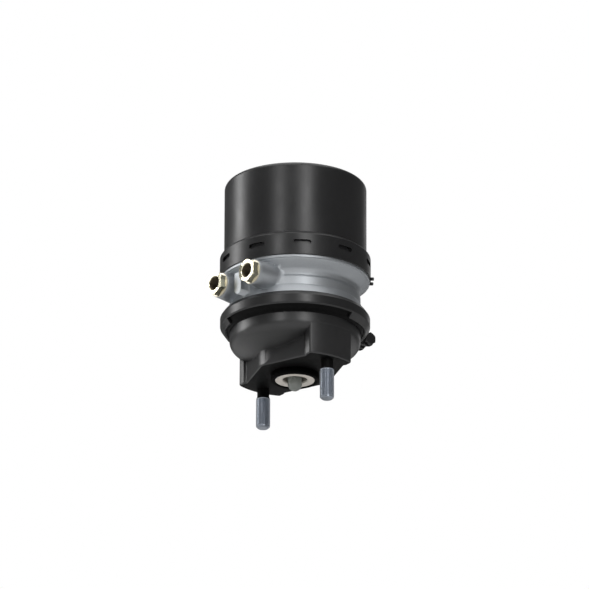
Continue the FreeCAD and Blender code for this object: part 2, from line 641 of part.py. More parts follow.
def flange_housing():
    """Die-cast flange between both chambers, with the tube guide, two port bosses and air drillings."""
    web_top = FLANGE_CAVITY_TOP + FLANGE_WEB
    bead_z = BEAD_LOW_Z + BEAD_THICK
    above = [(SPIGOT_BORE_R, SPIGOT_TOP), (SPIGOT_BORE_R, web_top, FLANGE_WEB_CORNER_R), (HUB_R, web_top),
             (HUB_R, HUB_TOP), (0, HUB_TOP), (0, FLANGE_CAVITY_TOP)]
    below = [(FLANGE_CAVITY_R, FLANGE_CAVITY_TOP, FLANGE_CAVITY_CORNER_R),
             (FLANGE_CAVITY_R, bead_z + FLANGE_CAVITY_LEAD), (FLANGE_CAVITY_R + FLANGE_CAVITY_LEAD, bead_z)]
    body = turned(flange_outline() + above + below)
    for side in (-1, 1):
        body = body.fuse(port_boss(side))
    body = body.fuse(port_lug())
    hollow = turned([(0, BEAD_LOW_Z), (FLANGE_CAVITY_R, BEAD_LOW_Z),
                     (FLANGE_CAVITY_R, FLANGE_CAVITY_TOP, FLANGE_CAVITY_CORNER_R), (0, FLANGE_CAVITY_TOP)])
    body = body.cut(hollow)
    guide_r = TUBE_R + TUBE_PLAY
    body = body.cut(Part.makeCylinder(guide_r, SPIGOT_TOP - BEAD_LOW_Z, vector(0, 0, BEAD_LOW_Z)))
    for low in tube_groove_heights():
        body = body.cut(ring(TUBE_R, guide_r + RING_DEPTH, low, low + RING_HEIGHT))
    body = body.cut(ring_groove(spigot_radius(), RING_DEPTH, CANISTER_SEAT_Z + RING_RISE, RING_HEIGHT))
    for side in (-1, 1):
        body = body.cut(port_drilling(side))
    return body.removeSplitter()


def tube_groove_heights():
    """Lower edges of the two grooves in the flange's tube guide."""
    return FLANGE_CAVITY_TOP + HUB_GROOVE_MARGIN, HUB_TOP - HUB_GROOVE_MARGIN - RING_HEIGHT


def port_boss(side):
    """Round boss that carries a port, tapering out into the neck."""
    length = PORT_FACE - PORT_HEX_DEPTH - PORT_COLLAR - BOSS_START
    root = BOSS_ROOT - BOSS_START
    boss = turned([(0, 0), (BOSS_ROOT_R, 0), (BOSS_ROOT_R, root), (BOSS_R, length, SEAT_GAP * 8), (0, length)])
    boss = placed(boss, port_point(side, BOSS_START), port_direction())
    room = Part.makeCylinder(SPIGOT_BORE_R, CANISTER_TOP, vector(0, 0, FLANGE_CAVITY_TOP + FLANGE_WEB))
    return boss.cut(room)


def port_lug():
    """Upright tongue between the two port bosses, rounded at its lower end."""
    direction = port_direction()
    start = polar(BOSS_ROOT, PORT_ANGLE, PORT_Z - LUG_DROP)
    reach = LUG_FACE - BOSS_ROOT
    tongue = Part.makeCylinder(LUG_R, reach, start, direction)
    web = Part.makeBox(reach, 2 * LUG_R, LUG_DROP + LUG_RISE, vector(BOSS_ROOT, -LUG_R, PORT_Z - LUG_DROP))
    web.rotate(ORIGIN, UP, PORT_ANGLE)
    return tongue.fuse(web)


def port_drilling(side):
    """Insert seat and air passage of one port: side -1 feeds the service chamber, +1 the spring chamber."""
    seat = PORT_FACE - PORT_HEX_DEPTH - PORT_COLLAR
    floor = seat - PORT_SHANK - PORT_MOUTH_CHAMFER
    hole = Part.makeCylinder(PORT_SHANK_R, seat - floor + CUT_PAST, port_point(side, floor), port_direction())
    inner = port_point(side, floor + PORT_MOUTH_CHAMFER)
    if side < 0:
        target = port_point(side, FLANGE_CAVITY_R - DRILL_SERVICE_REACH, PORT_Z - DRILL_SERVICE_DROP)
    else:
        height = FLANGE_CAVITY_TOP + FLANGE_WEB + DRILL_SPRING_RISE
        target = port_point(side, FLANGE_CAVITY_R - DRILL_SPRING_REACH, height)
    way = target - inner
    return hole.fuse(Part.makeCylinder(DRILL_R, way.Length, inner, way))


def port_insert(side):
    """Threaded hexagon insert with its round collar and shank."""
    seat = PORT_FACE - PORT_HEX_DEPTH - PORT_COLLAR
    axis = port_direction()
    nut = hexagon(PORT_HEX_AF, PORT_HEX_DEPTH, port_point(side, seat + PORT_COLLAR), axis, PORT_HEX_TURN)
    disc = placed(turned([(0, 0), (PORT_COLLAR_R, 0), (PORT_COLLAR_R, PORT_COLLAR, PORT_COLLAR / 3),
                          (0, PORT_COLLAR)]), port_point(side, seat), axis)
    shank = Part.makeCylinder(PORT_SHANK_R, PORT_SHANK, port_point(side, seat - PORT_SHANK), axis)
    body = nut.fuse([disc, shank])
    mouth = PORT_BORE_R + PORT_MOUTH_CHAMFER
    length = PORT_FACE - seat + PORT_SHANK
    bore = turned([(0, -CUT_PAST), (PORT_BORE_R, -CUT_PAST), (PORT_BORE_R, length - PORT_MOUTH_CHAMFER),
                   (mouth, length), (mouth, length + CUT_PAST), (0, length + CUT_PAST)])
    return body.cut(placed(bore, port_point(side, seat - PORT_SHANK), axis)).removeSplitter()


# Canister side

def spring_canister():
    """Deep-drawn steel canister with a raised middle and a widened lower bead."""
    bead_r = COLLAR_R - COLLAR_WALL - SEAT_GAP
    inner_r = CANISTER_R - CANISTER_WALL
    roof = CANISTER_TOP - CANISTER_WALL
    slope = PLATEAU_R + PLATEAU_SLOPE
    high = CANISTER_TOP + PLATEAU_RISE
    fold = CANISTER_WALL / 3
    return turned([(bead_r - CANISTER_WALL, CANISTER_SEAT_Z), (bead_r, CANISTER_SEAT_Z),
                   (bead_r, CANISTER_BEAD_TOP), (CANISTER_R, CANISTER_BEAD_TOP + CANISTER_BEAD_TAPER),
                   (CANISTER_R, CANISTER_TOP, CANISTER_CORNER_R), (slope, CANISTER_TOP, PLATEAU_LOW_BEND_R),
                   (PLATEAU_R, high, PLATEAU_TOP_BEND_R), (HUB_HOLE_R, high),
                   (HUB_HOLE_R, high - CANISTER_WALL),
                   (PLATEAU_R - fold, high - CANISTER_WALL), (slope - fold, roof),
                   (inner_r, roof, CANISTER_CORNER_R - CANISTER_WALL),
                   (inner_r, CANISTER_BEAD_TOP + CANISTER_BEAD_TAPER - fold / 2),
                   (bead_r - CANISTER_WALL, CANISTER_BEAD_TOP - fold / 2)])


def locking_collar():
    """Black collar over the canister bead and the flange, with ten windows and a turned-in lip."""
    inner_r = COLLAR_R - COLLAR_WALL
    top_r = CANISTER_R + SEAT_GAP
    bead_top = CANISTER_BEAD_TOP + 2 * SEAT_GAP
    body = turned([(COLLAR_LIP_R, FLANGE_RIM_Z), (COLLAR_R, FLANGE_RIM_Z, COLLAR_EDGE_R),
                   (COLLAR_R, COLLAR_SHOULDER_Z, COLLAR_SHOULDER_R), (top_r, COLLAR_TOP_Z),
                   (top_r, bead_top + CANISTER_BEAD_TAPER), (inner_r, bead_top),
                   (inner_r, FLANGE_RIM_Z + COLLAR_LIP), (COLLAR_LIP_R, FLANGE_RIM_Z + COLLAR_LIP)])
    for index in range(WINDOW_COUNT):
        angle = WINDOW_ANGLE + 360 * index / WINDOW_COUNT
        body = body.cut(window_cutter(angle))
    channel = LOCK_WIRE_R + SEAT_GAP
    channel_top = lock_wire_z() + channel
    body = body.cut(ring(LOCK_WIRE_PATH_R - channel, LOCK_WIRE_PATH_R + channel, FLANGE_RIM_Z, channel_top))
    half = LOCK_WIRE_END_R + SEAT_GAP
    slot_low = FLANGE_RIM_Z - CUT_PAST
    for angle in LOCK_WIRE_ANGLES:
        slot = Part.makeBox(4 * COLLAR_WALL, 2 * half, lock_wire_z() + half - slot_low,
                            vector(LOCK_WIRE_PATH_R, -half, slot_low))
        slot.rotate(ORIGIN, UP, angle)
        body = body.cut(slot)
    return body


def window_cutter(angle):
    """Rounded slot through the collar at one angle."""
    half_z = WINDOW_HEIGHT / 2
    half = WINDOW_LENGTH / 2
    corner = 0.9 * half_z
    points = [(-half, -half_z, corner), (half, -half_z, corner), (half, half_z, corner),
              (-half, half_z, corner)]
    start = COLLAR_R - 2 * COLLAR_WALL
    wire = rounded_wire(corner_list(points, lambda y, z: vector(start, y, WINDOW_Z + z)))
    slot = Part.Face(wire).extrude(vector(4 * COLLAR_WALL, 0, 0))
    slot = slot.cut(Part.makeCylinder(COLLAR_R - COLLAR_WALL - SEAT_GAP, 2 * WINDOW_Z))
    slot.rotate(ORIGIN, UP, angle)
    return slot


def lock_wire_z():
    """Height of the lock wire's middle."""
    return FLANGE_RIM_Z + LOCK_WIRE_R + SEAT_GAP


def lock_wire():
    """Round wire that locks the collar, hidden in its lower edge, with two turned-out ends."""
    z = lock_wire_z()
    first, last = LOCK_WIRE_ANGLES
    low, high = z - LOCK_WIRE_R, z + LOCK_WIRE_R
    body = ring(LOCK_WIRE_PATH_R - LOCK_WIRE_R, LOCK_WIRE_PATH_R + LOCK_WIRE_R, low, high)
    body = body.cut(sector(first, last, 2 * COLLAR_R, z - CUT_PAST, z + CUT_PAST))
    tail = FLANGE_RIM_R + SEAT_GAP - LOCK_WIRE_PATH_R
    for angle in LOCK_WIRE_ANGLES:
        end = turned([(0, 0), (LOCK_WIRE_NECK_R, 0), (LOCK_WIRE_NECK_R, tail), (LOCK_WIRE_END_R, tail),
                      (LOCK_WIRE_END_R, tail + LOCK_WIRE_END, LOCK_WIRE_END_R / 2), (0, tail + LOCK_WIRE_END)])
        body = body.fuse(placed(end, polar(LOCK_WIRE_PATH_R, angle, z), polar(1, angle)))
    return body


# Rings that seal and guide

def square_ring(inner, outer, low, height):
    """Seal or guide band of square section."""
    return ring(inner, outer, low, low + height)


def housing_seal():
    """Ring between the flange spigot and the canister bead."""
    outer = spigot_radius() + SEAT_GAP
    return square_ring(spigot_radius() - RING_DEPTH, outer, CANISTER_SEAT_Z + RING_RISE, RING_HEIGHT)


def tube_ring(index):
    """Guide band (0) or lip seal (1) in the flange around the piston tube."""
    low = tube_groove_heights()[index]
    return square_ring(TUBE_R + SLIDE_GAP, TUBE_R + TUBE_PLAY + RING_DEPTH, low, RING_HEIGHT)


# Parking piston

def spring_piston():
    """Cast piston: dished web on the tube, and a tall ring for seal and guide band."""
    web_top = PISTON_WEB_Z + PISTON_WEB
    inner = PISTON_R - PISTON_WALL - RING_DEPTH
    bowl_in = PISTON_BOWL_R - PISTON_WALL
    hub_r = TUBE_R + PISTON_HUB
    hub_top = web_top + PISTON_HUB_RISE
    body = turned([(TUBE_R, PISTON_WEB_Z), (PISTON_BOWL_R, PISTON_WEB_Z, PISTON_BOWL_CORNER_R),
                   (PISTON_BOWL_R + PISTON_BOWL_DRAFT, PISTON_RING_LOW), (PISTON_R, PISTON_RING_LOW),
                   (PISTON_R, PISTON_RING_HIGH), (inner, PISTON_RING_HIGH),
                   (inner, PISTON_RING_LOW + PISTON_RING_FLOOR), (bowl_in, PISTON_RING_LOW),
                   (bowl_in - PISTON_BOWL_DRAFT / 2, web_top), (hub_r, web_top), (hub_r, hub_top),
                   (TUBE_R, hub_top)])
    seal_low, band_low = piston_groove_heights()
    body = body.cut(ring_groove(PISTON_R, RING_DEPTH, seal_low, RING_HEIGHT))
    return body.cut(ring_groove(PISTON_R, BAND_DEPTH, band_low, BAND_HEIGHT))


def piston_groove_heights():
    """Lower edges of the piston's seal groove and guide band groove."""
    return PISTON_RING_LOW + PISTON_SEAL_RISE, PISTON_RING_LOW + PISTON_BAND_RISE


def piston_seal():
    """Lip ring between piston and canister."""
    low = piston_groove_heights()[0]
    outer = CANISTER_R - CANISTER_WALL - SLIDE_GAP
    return square_ring(PISTON_R - RING_DEPTH, outer, low, RING_HEIGHT)


def piston_guide_band():
    """Plastic guide band between piston and canister."""
    low = piston_groove_heights()[1]
    outer = CANISTER_R - CANISTER_WALL - SLIDE_GAP
    return square_ring(PISTON_R - BAND_DEPTH, outer, low, BAND_HEIGHT)


def tube_top():
    """Upper edge of the clip groove in the piston tube."""
    return PISTON_WEB_Z + PISTON_WEB + PISTON_HUB_RISE + CLIP_THICK


def piston_tube():
    """Steel tube from the piston through the flange, with a shoulder that the release nut lifts."""
    top = tube_top() + TUBE_COLLAR
    shoulder = PISTON_WEB_Z - TUBE_SHOULDER_DROP
    low = FOOT_Z + FOOT_THICK
    hole_r = SCREW_R + WASHER_MARGIN
    tube = turned([(TUBE_BORE_R, low), (TUBE_R, low), (TUBE_R, top), (hole_r, top), (hole_r, shoulder),
                   (TUBE_BORE_R, shoulder)])
    return tube.cut(ring_groove(TUBE_R, CLIP_DEPTH, tube_top() - CLIP_THICK, CLIP_THICK))


def piston_clip():
    """Retaining ring that holds the piston on its tube."""
    low = tube_top() - CLIP_THICK
    clip = ring(TUBE_R - CLIP_DEPTH, TUBE_R + CLIP_HEIGHT, low, low + CLIP_THICK)
    gap = Part.makeBox(TUBE_R, CLIP_GAP, 3 * CLIP_THICK, vector(TUBE_R / 2, -CLIP_GAP / 2, low - CLIP_THICK))
    return clip.cut(gap)


def piston_foot():
    """Thrust foot at the lower end of the tube, which presses on the diaphragm."""
    top = FOOT_Z + FOOT_THICK
    rim = FOOT_Z + FOOT_THICK / 2
    peg_in = TUBE_BORE_R - FOOT_PEG
    return turned([(0, FOOT_Z), (FOOT_R, FOOT_Z), (FOOT_R, rim), (TUBE_R, rim + FOOT_TAPER), (TUBE_R, top),
                   (TUBE_BORE_R, top), (TUBE_BORE_R, top + FOOT_PEG), (peg_in, top + FOOT_PEG), (peg_in, rim),
                   (0, rim)])


def power_spring():
    """Parking spring, shown compressed between the piston web and the canister roof."""
    low = PISTON_WEB_Z + PISTON_WEB + SOFT_GAP
    high = CANISTER_TOP + PLATEAU_RISE - CANISTER_WALL - SOFT_GAP
    big = PISTON_BOWL_R - PISTON_WALL - POWER_SIDE_GAP - POWER_WIRE_R
    return coil(big, POWER_SMALL_R, POWER_WIRE_R, low, high, POWER_COILS)


# Push rod side

def push_plate():
    """Steel plate under the diaphragm."""
    low = PLATE_TOP_Z - PLATE_THICK
    return turned([(ROD_SPIGOT_R, low), (PLATE_R, low, PLATE_EDGE_R), (PLATE_R, PLATE_TOP_Z, PLATE_EDGE_R),
                   (ROD_SPIGOT_R, PLATE_TOP_Z)])


def push_rod():
    """Push rod with a ball end, riveted into the plate through a spigot."""
    low = PLATE_TOP_Z - PLATE_THICK
    start = vector(0, 0, ROD_TIP_Z)
    side = vector(ROD_R, 0, ROD_TIP_Z + ROD_R)
    lean = math.sqrt(0.5) * ROD_R
    middle = vector(lean, 0, ROD_TIP_Z + ROD_R - lean)
    points = [side, vector(ROD_R, 0, low), vector(ROD_SPIGOT_R, 0, low), vector(ROD_SPIGOT_R, 0, PLATE_TOP_Z),
              vector(0, 0, PLATE_TOP_Z), start]
    edges = [Part.Arc(start, middle, side).toShape()]
    for first, second in zip(points, points[1:]):
        edges.append(Part.LineSegment(first, second).toShape())
    return Part.Face(Part.Wire(edges)).revolve(ORIGIN, UP, 360)


def diaphragm():
    """Rubber diaphragm, domed up over the plate, with its bead held in the clamp joint."""
    top = PLATE_TOP_Z + SOFT_GAP
    bead_top = BEAD_LOW_Z + BEAD_THICK
    wall = DIAPHRAGM_THICK
    crown = top + wall - SOFT_GAP / 2
    return turned([(DIAPHRAGM_BEAD_R, BEAD_LOW_Z), (DIAPHRAGM_BEAD_R, bead_top),
                   (DIAPHRAGM_WALL_R + wall / 5, bead_top), (DIAPHRAGM_WALL_R - wall, crown, DIAPHRAGM_BEND_R),
                   (0, crown), (0, top), (DIAPHRAGM_CROWN_R + wall, top),
                   (DIAPHRAGM_WALL_R - 1.4 * wall, BEAD_LOW_Z)])


def return_spring():
    """Conical return spring between the housing floor and the plate."""
    low = PAD_BASE + SOFT_GAP
    high = PLATE_TOP_Z - PLATE_THICK - SOFT_GAP
    return coil(RETURN_BIG_R, RETURN_SMALL_R, RETURN_WIRE_R, low, high, RETURN_COILS)


def rod_boot():
    """Bellows between the guide ring's sleeve and the rod."""
    sleeve = SLEEVE_R - SEAT_GAP
    pitch = (BOOT_NECK_LOW - BOOT_BASE_Z - BOOT_BASE) / BOOT_FOLDS
    outer = [(sleeve, BOOT_BASE_Z)]
    inner = [(sleeve - SLEEVE_WALL, BOOT_BASE_Z)]
    for fold in range(BOOT_FOLDS):
        low = BOOT_BASE_Z + BOOT_BASE + fold * pitch
        outer.append((BOOT_OUT_R, low + pitch * 0.3))
        outer.append((BOOT_IN_R, low + pitch * 0.8))
        inner.append((BOOT_OUT_R - BOOT_WALL * 1.5, low + pitch * 0.3))
        inner.append((BOOT_IN_R - BOOT_WALL, low + pitch * 0.8))
    neck = ROD_R + SOFT_GAP
    outer += [(neck + BOOT_NECK_WALL, BOOT_NECK_LOW), (neck + BOOT_NECK_WALL, BOOT_NECK_HIGH)]
    inner += [(neck, BOOT_NECK_LOW), (neck, BOOT_NECK_HIGH)]
    return turned(outer + inner[::-1])


# Release gear

def roof_height():
    """Underside of the canister's raised middle."""
    return CANISTER_TOP + PLATEAU_RISE - CANISTER_WALL


def top_bush():
    """Bush in the canister's centre hole that carries the release screw."""
    under = roof_height()
    top = under + CANISTER_WALL
    hook_r = HUB_HOLE_R + BUSH_HOOK
    neck_r = HUB_HOLE_R - SEAT_GAP
    return turned([(SCREW_R + SLIDE_GAP, under - BUSH_DROP), (hook_r, under - BUSH_DROP), (hook_r, under),
                   (neck_r, under), (neck_r, top), (BUSH_FLANGE_R, top),
                   (BUSH_FLANGE_R, top + BUSH_FLANGE, BUSH_FLANGE / 3),
                   (SCREW_R + SLIDE_GAP, top + BUSH_FLANGE)])


def thrust_washer():
    """Hard washer between the screw's head and the bush."""
    low = roof_height() + CANISTER_WALL + BUSH_FLANGE
    return ring(SCREW_R + SLIDE_GAP, SCREW_COLLAR_R + WASHER_MARGIN, low, low + WASHER_THICK)


def release_screw():
    """Release screw: hexagon above the canister, long threaded stem down into the tube."""
    seat = roof_height() + CANISTER_WALL + BUSH_FLANGE + WASHER_THICK + SLIDE_GAP
    top = seat + SCREW_COLLAR
    stem = turned([(0, SCREW_LOW_Z), (SCREW_R - SCREW_CHAMFER, SCREW_LOW_Z),
                   (SCREW_R, SCREW_LOW_Z + SCREW_CHAMFER),
                   (SCREW_R, seat), (SCREW_COLLAR_R, seat), (SCREW_COLLAR_R, top, SCREW_CHAMFER / 2), (0, top)])
    head = hexagon(SCREW_HEX_AF, SCREW_HEX, vector(0, 0, top), UP)
    return stem.fuse(head).removeSplitter()


def screw_clip():
    """Retaining ring under the bush that keeps the screw in the canister."""
    high = roof_height() - BUSH_DROP - SLIDE_GAP
    return ring(SCREW_R, SCREW_R + CLIP_HEIGHT + 1, high - CLIP_THICK, high)


def release_nut():
    """Nut on the release screw, under the tube's shoulder."""
    high = PISTON_WEB_Z - TUBE_SHOULDER_DROP - SLIDE_GAP
    nut = turned([(SCREW_R + SLIDE_GAP, high - NUT_HEIGHT), (NUT_R, high - NUT_HEIGHT), (NUT_R, high),
                  (SCREW_R + SLIDE_GAP, high)])
    for side in (-1, 1):
        edge = NUT_R - NUT_FLAT_OUT if side > 0 else -2 * NUT_R
        flat = Part.makeBox(NUT_R + NUT_FLAT_OUT, 4 * NUT_R, 3 * NUT_HEIGHT,
                            vector(edge, -2 * NUT_R, high - 2 * NUT_HEIGHT))
        nut = nut.cut(flat)
    return nut


PIECES = {
    "service_housing": service_housing,
    "drain_plugs": drain_plugs,
    "mounting_studs": mounting_studs,
    "mouth_seal": mouth_seal,
    "guide_ring": guide_ring,
    "clamp_ring": clamp_ring,
    "clamp_bolt": clamp_bolt,
    "clamp_nut": clamp_nut,
    "clamp_washers": clamp_washers,
    "flange_housing": flange_housing,
    "service_port_insert": lambda: port_insert(-1),
    "spring_port_insert": lambda: port_insert(1),
    "spring_canister": spring_canister,
    "locking_collar": locking_collar,
    "lock_wire": lock_wire,
    "housing_seal": housing_seal,
    "tube_guide_band": lambda: tube_ring(0),
    "tube_seal": lambda: tube_ring(1),
    "spring_piston": spring_piston,
    "piston_seal": piston_seal,
    "piston_guide_band": piston_guide_band,
    "piston_tube": piston_tube,
    "piston_clip": piston_clip,
    "piston_foot": piston_foot,
    "power_spring": power_spring,
    "push_plate": push_plate,
    "push_rod": push_rod,
    "diaphragm": diaphragm,
    "return_spring": return_spring,
    "rod_boot": rod_boot,
    "top_bush": top_bush,
    "thrust_washer": thrust_washer,
    "release_screw": release_screw,
    "screw_clip": screw_clip,
    "release_nut": release_nut,
}

os.makedirs("parts", exist_ok=True)
for name, make in PIECES.items():
    shape = make()
    shape.exportStep("parts/" + name + ".step")
    print(name, "solids", len(shape.Solids), "valid", shape.isValid(), "volume", round(shape.Volume))
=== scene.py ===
"""Looks for the spring-brake actuator: a combination air cylinder of a truck disc brake.

The CAD frame gives every rigid form. This script gives the frame its finishes, adds the threads that the frame
leaves out, dresses the flexible pieces, rounds edges in the shading and sets up the studio and the camera.
"""

import logging
import math
from collections.abc import Callable
from dataclasses import dataclass, field
from enum import Enum

import bmesh
import bpy
from mathutils import Matrix, Vector

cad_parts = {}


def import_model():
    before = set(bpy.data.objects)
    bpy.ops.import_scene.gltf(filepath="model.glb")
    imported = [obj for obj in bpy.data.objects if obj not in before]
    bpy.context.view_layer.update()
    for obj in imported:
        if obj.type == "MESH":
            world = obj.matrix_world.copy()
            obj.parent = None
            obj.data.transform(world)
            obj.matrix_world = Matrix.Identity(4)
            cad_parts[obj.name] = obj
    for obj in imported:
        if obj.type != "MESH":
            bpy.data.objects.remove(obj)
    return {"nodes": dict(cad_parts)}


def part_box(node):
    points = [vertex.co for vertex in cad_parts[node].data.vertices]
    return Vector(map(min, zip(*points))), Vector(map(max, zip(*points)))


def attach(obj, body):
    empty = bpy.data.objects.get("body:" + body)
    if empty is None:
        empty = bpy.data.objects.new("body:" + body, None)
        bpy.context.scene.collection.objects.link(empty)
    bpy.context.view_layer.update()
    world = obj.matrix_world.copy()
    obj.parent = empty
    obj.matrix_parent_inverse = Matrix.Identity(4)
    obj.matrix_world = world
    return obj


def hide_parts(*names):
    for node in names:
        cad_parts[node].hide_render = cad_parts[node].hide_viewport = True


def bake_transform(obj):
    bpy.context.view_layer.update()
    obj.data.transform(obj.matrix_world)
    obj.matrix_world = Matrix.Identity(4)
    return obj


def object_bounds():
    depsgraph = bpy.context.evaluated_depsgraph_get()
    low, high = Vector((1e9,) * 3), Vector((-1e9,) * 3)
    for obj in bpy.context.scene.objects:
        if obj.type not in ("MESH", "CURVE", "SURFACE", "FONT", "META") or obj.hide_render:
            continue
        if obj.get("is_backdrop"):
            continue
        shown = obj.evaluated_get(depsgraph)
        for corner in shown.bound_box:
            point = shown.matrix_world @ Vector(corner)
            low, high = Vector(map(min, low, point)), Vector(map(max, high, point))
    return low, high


LOG = logging.getLogger("spring_brake")
MM = 0.001
FULL_TURN = math.tau
Z_AXIS = Vector((0.0, 0.0, 1.0))
ORIGIN = Vector((0.0, 0.0, 0.0))
WALL_TILT = 0.01
WALL_RADIUS = 40.0 * MM
WALL_MATCH = 0.98
MERGE = 0.002 * MM
EDGE_SAMPLES = 6
# Painted crevice shade: as ambient occlusion falls from CREVICE_OPEN to CREVICE_DARK, the sheen fades to none.
CREVICE_SAMPLES = 8
CREVICE_DARK = 0.5
CREVICE_OPEN = 0.92


class Body(Enum):
    """Rigid bodies of the frame."""

    ROOT = "root"
    PISTON = "piston"
    ROD = "rod"
    NUT = "nut"
    SCREW = "screw"


def row_direction(degrees: float, elevation: float = 0.0) -> Vector:
    """Unit vector at an angle round the axis and above the horizon.

    Args:
        degrees: Angle from the X axis, counted towards Y.
        elevation: Angle above the horizon.

    Returns:
        The unit vector.
    """
    turn = math.radians(degrees)
    rise = math.radians(elevation)
    return Vector((math.cos(turn) * math.cos(rise), math.sin(turn) * math.cos(rise), math.sin(rise)))


# Finishes


class Nodes:
    """A node tree with short ways to add and join nodes."""

    def __init__(self, tree: bpy.types.NodeTree) -> None:
        """Takes the tree to fill."""
        self.tree = tree

    def add(self, kind: str, **values: object) -> bpy.types.Node:
        """Adds a node and sets its sockets or properties.

        Args:
            kind: The node's type name.
            **values: Socket names, with underscores for spaces, or properties of the node.

        Returns:
            The new node.
        """
        node = self.tree.nodes.new(kind)
        for name, value in values.items():
            if hasattr(node, name):
                setattr(node, name, value)
            else:
                node.inputs[name.replace("_", " ")].default_value = value
        return node

    def join(self, source: bpy.types.NodeSocket, target: bpy.types.NodeSocket) -> None:
        """Links two sockets."""
        self.tree.links.new(source, target)


def new_group(name: str, inputs: dict[str, tuple[str, object]], outputs: dict[str, str]) -> Nodes:
    """Makes an empty shader group with its sockets.

    Args:
        name: The group's name.
        inputs: Socket name to (socket type, default value or None).
        outputs: Socket name to socket type.

    Returns:
        The group's tree, ready to fill.
    """
    tree = bpy.data.node_groups.new(name, "ShaderNodeTree")
    for socket, (kind, value) in inputs.items():
        made = tree.interface.new_socket(socket, in_out="INPUT", socket_type=kind)
        if value is not None:
            made.default_value = value
    for socket, kind in outputs.items():
        tree.interface.new_socket(socket, in_out="OUTPUT", socket_type=kind)
    return Nodes(tree)


def grain_group() -> bpy.types.NodeTree:
    """Builds the group that turns a fine noise into a bumped normal."""
    graph = new_group(
        "fine_grain",
        {
            "Vector": ("NodeSocketVector", None),
            "Normal": ("NodeSocketVector", None),
            "Scale": ("NodeSocketFloat", 400.0),
            "Depth": ("NodeSocketFloat", 0.1),
        },
        {"Normal": "NodeSocketVector", "Height": "NodeSocketFloat"},
    )
    entry = graph.add("NodeGroupInput")
    out = graph.add("NodeGroupOutput")
    noise = graph.add("ShaderNodeTexNoise", Detail=3.0, Roughness=0.55)
    bump = graph.add("ShaderNodeBump", Distance=0.0004)
    graph.join(entry.outputs["Vector"], noise.inputs["Vector"])
    graph.join(entry.outputs["Scale"], noise.inputs["Scale"])
    graph.join(noise.outputs["Fac"], bump.inputs["Height"])
    graph.join(entry.outputs["Depth"], bump.inputs["Strength"])
    graph.join(entry.outputs["Normal"], bump.inputs["Normal"])
    graph.join(bump.outputs["Normal"], out.inputs["Normal"])
    graph.join(noise.outputs["Fac"], out.inputs["Height"])
    return graph.tree


def spread_group() -> bpy.types.NodeTree:
    """Builds the group that gives a slow variation between two values."""
    graph = new_group(
        "slow_spread",
        {
            "Vector": ("NodeSocketVector", None),
            "Scale": ("NodeSocketFloat", 30.0),
            "Low": ("NodeSocketFloat", 0.0),
            "High": ("NodeSocketFloat", 1.0),
        },
        {"Value": "NodeSocketFloat"},
    )
    entry = graph.add("NodeGroupInput")
    out = graph.add("NodeGroupOutput")
    noise = graph.add("ShaderNodeTexNoise", Detail=4.0, Roughness=0.6)
    ramp = graph.add("ShaderNodeMapRange", From_Min=0.3, From_Max=0.7)
    graph.join(entry.outputs["Vector"], noise.inputs["Vector"])
    graph.join(entry.outputs["Scale"], noise.inputs["Scale"])
    graph.join(noise.outputs["Fac"], ramp.inputs["Value"])
    graph.join(entry.outputs["Low"], ramp.inputs["To Min"])
    graph.join(entry.outputs["High"], ramp.inputs["To Max"])
    graph.join(ramp.outputs["Result"], out.inputs["Value"])
    return graph.tree


@dataclass(frozen=True)
class Finish:
    """A surface finish: colour, sheen, a fine relief and, for some, painted shade that takes the sheen out of
    crevices.
    """

    name: str
    colour: tuple[float, float, float]
    roughness: float
    metallic: float = 0.0
    specular: float = 0.5
    grain_scale: float = 400.0
    grain_depth: float = 0.1
    roughness_spread: float = 0.04
    tone_spread: float = 0.0
    spread_scale: float = 30.0
    edge: float = 0.2 * MM
    # Reach of the painted crevice shade; zero for none.
    crevice_shade: float = 0.0

    def material(self, groups: dict[str, bpy.types.NodeTree]) -> bpy.types.Material:
        """Builds the material.

        Args:
            groups: The shared node groups by name.

        Returns:
            The new material.
        """
        made = bpy.data.materials.new(self.name)
        made.use_nodes = True
        graph = Nodes(made.node_tree)
        made.node_tree.nodes.clear()
        out = graph.add("ShaderNodeOutputMaterial")
        shader = graph.add(
            "ShaderNodeBsdfPrincipled", Metallic=self.metallic, Specular_IOR_Level=self.specular,
        )
        place = graph.add("ShaderNodeTexCoord")
        grain = graph.add("ShaderNodeGroup", node_tree=groups["fine_grain"])
        grain.inputs["Scale"].default_value = self.grain_scale
        grain.inputs["Depth"].default_value = self.grain_depth
        spread = graph.add("ShaderNodeGroup", node_tree=groups["slow_spread"])
        spread.inputs["Scale"].default_value = self.spread_scale
        spread.inputs["Low"].default_value = self.roughness - self.roughness_spread
        spread.inputs["High"].default_value = self.roughness + self.roughness_spread
        rounding = graph.add("ShaderNodeBevel", samples=EDGE_SAMPLES, Radius=self.edge)
        graph.join(rounding.outputs["Normal"], grain.inputs["Normal"])
        graph.join(place.outputs["Object"], grain.inputs["Vector"])
        graph.join(place.outputs["Object"], spread.inputs["Vector"])
        graph.join(grain.outputs["Normal"], shader.inputs["Normal"])
        graph.join(spread.outputs["Value"], shader.inputs["Roughness"])
        shader.inputs["Base Color"].default_value = (*self.colour, 1.0)
        # Painted shade: ambient occlusion dims the sheen in crevices and creases.
        if self.crevice_shade:
            reach = graph.add("ShaderNodeAmbientOcclusion", samples=CREVICE_SAMPLES, Distance=self.crevice_shade)
            shade = graph.add(
                "ShaderNodeMapRange", From_Min=CREVICE_DARK, From_Max=CREVICE_OPEN, To_Min=0.0, To_Max=self.specular,
            )
            graph.join(reach.outputs["AO"], shade.inputs["Value"])
            graph.join(shade.outputs["Result"], shader.inputs["Specular IOR Level"])
        if self.tone_spread:
            tone = graph.add("ShaderNodeMix", data_type="RGBA")
            dark = tuple(part * (1.0 - self.tone_spread) for part in self.colour)
            tone.inputs[6].default_value = (*dark, 1.0)
            tone.inputs[7].default_value = (*self.colour, 1.0)
            graph.join(grain.outputs["Height"], tone.inputs[0])
            graph.join(tone.outputs[2], shader.inputs["Base Color"])
        graph.join(shader.outputs["BSDF"], out.inputs["Surface"])
        return made


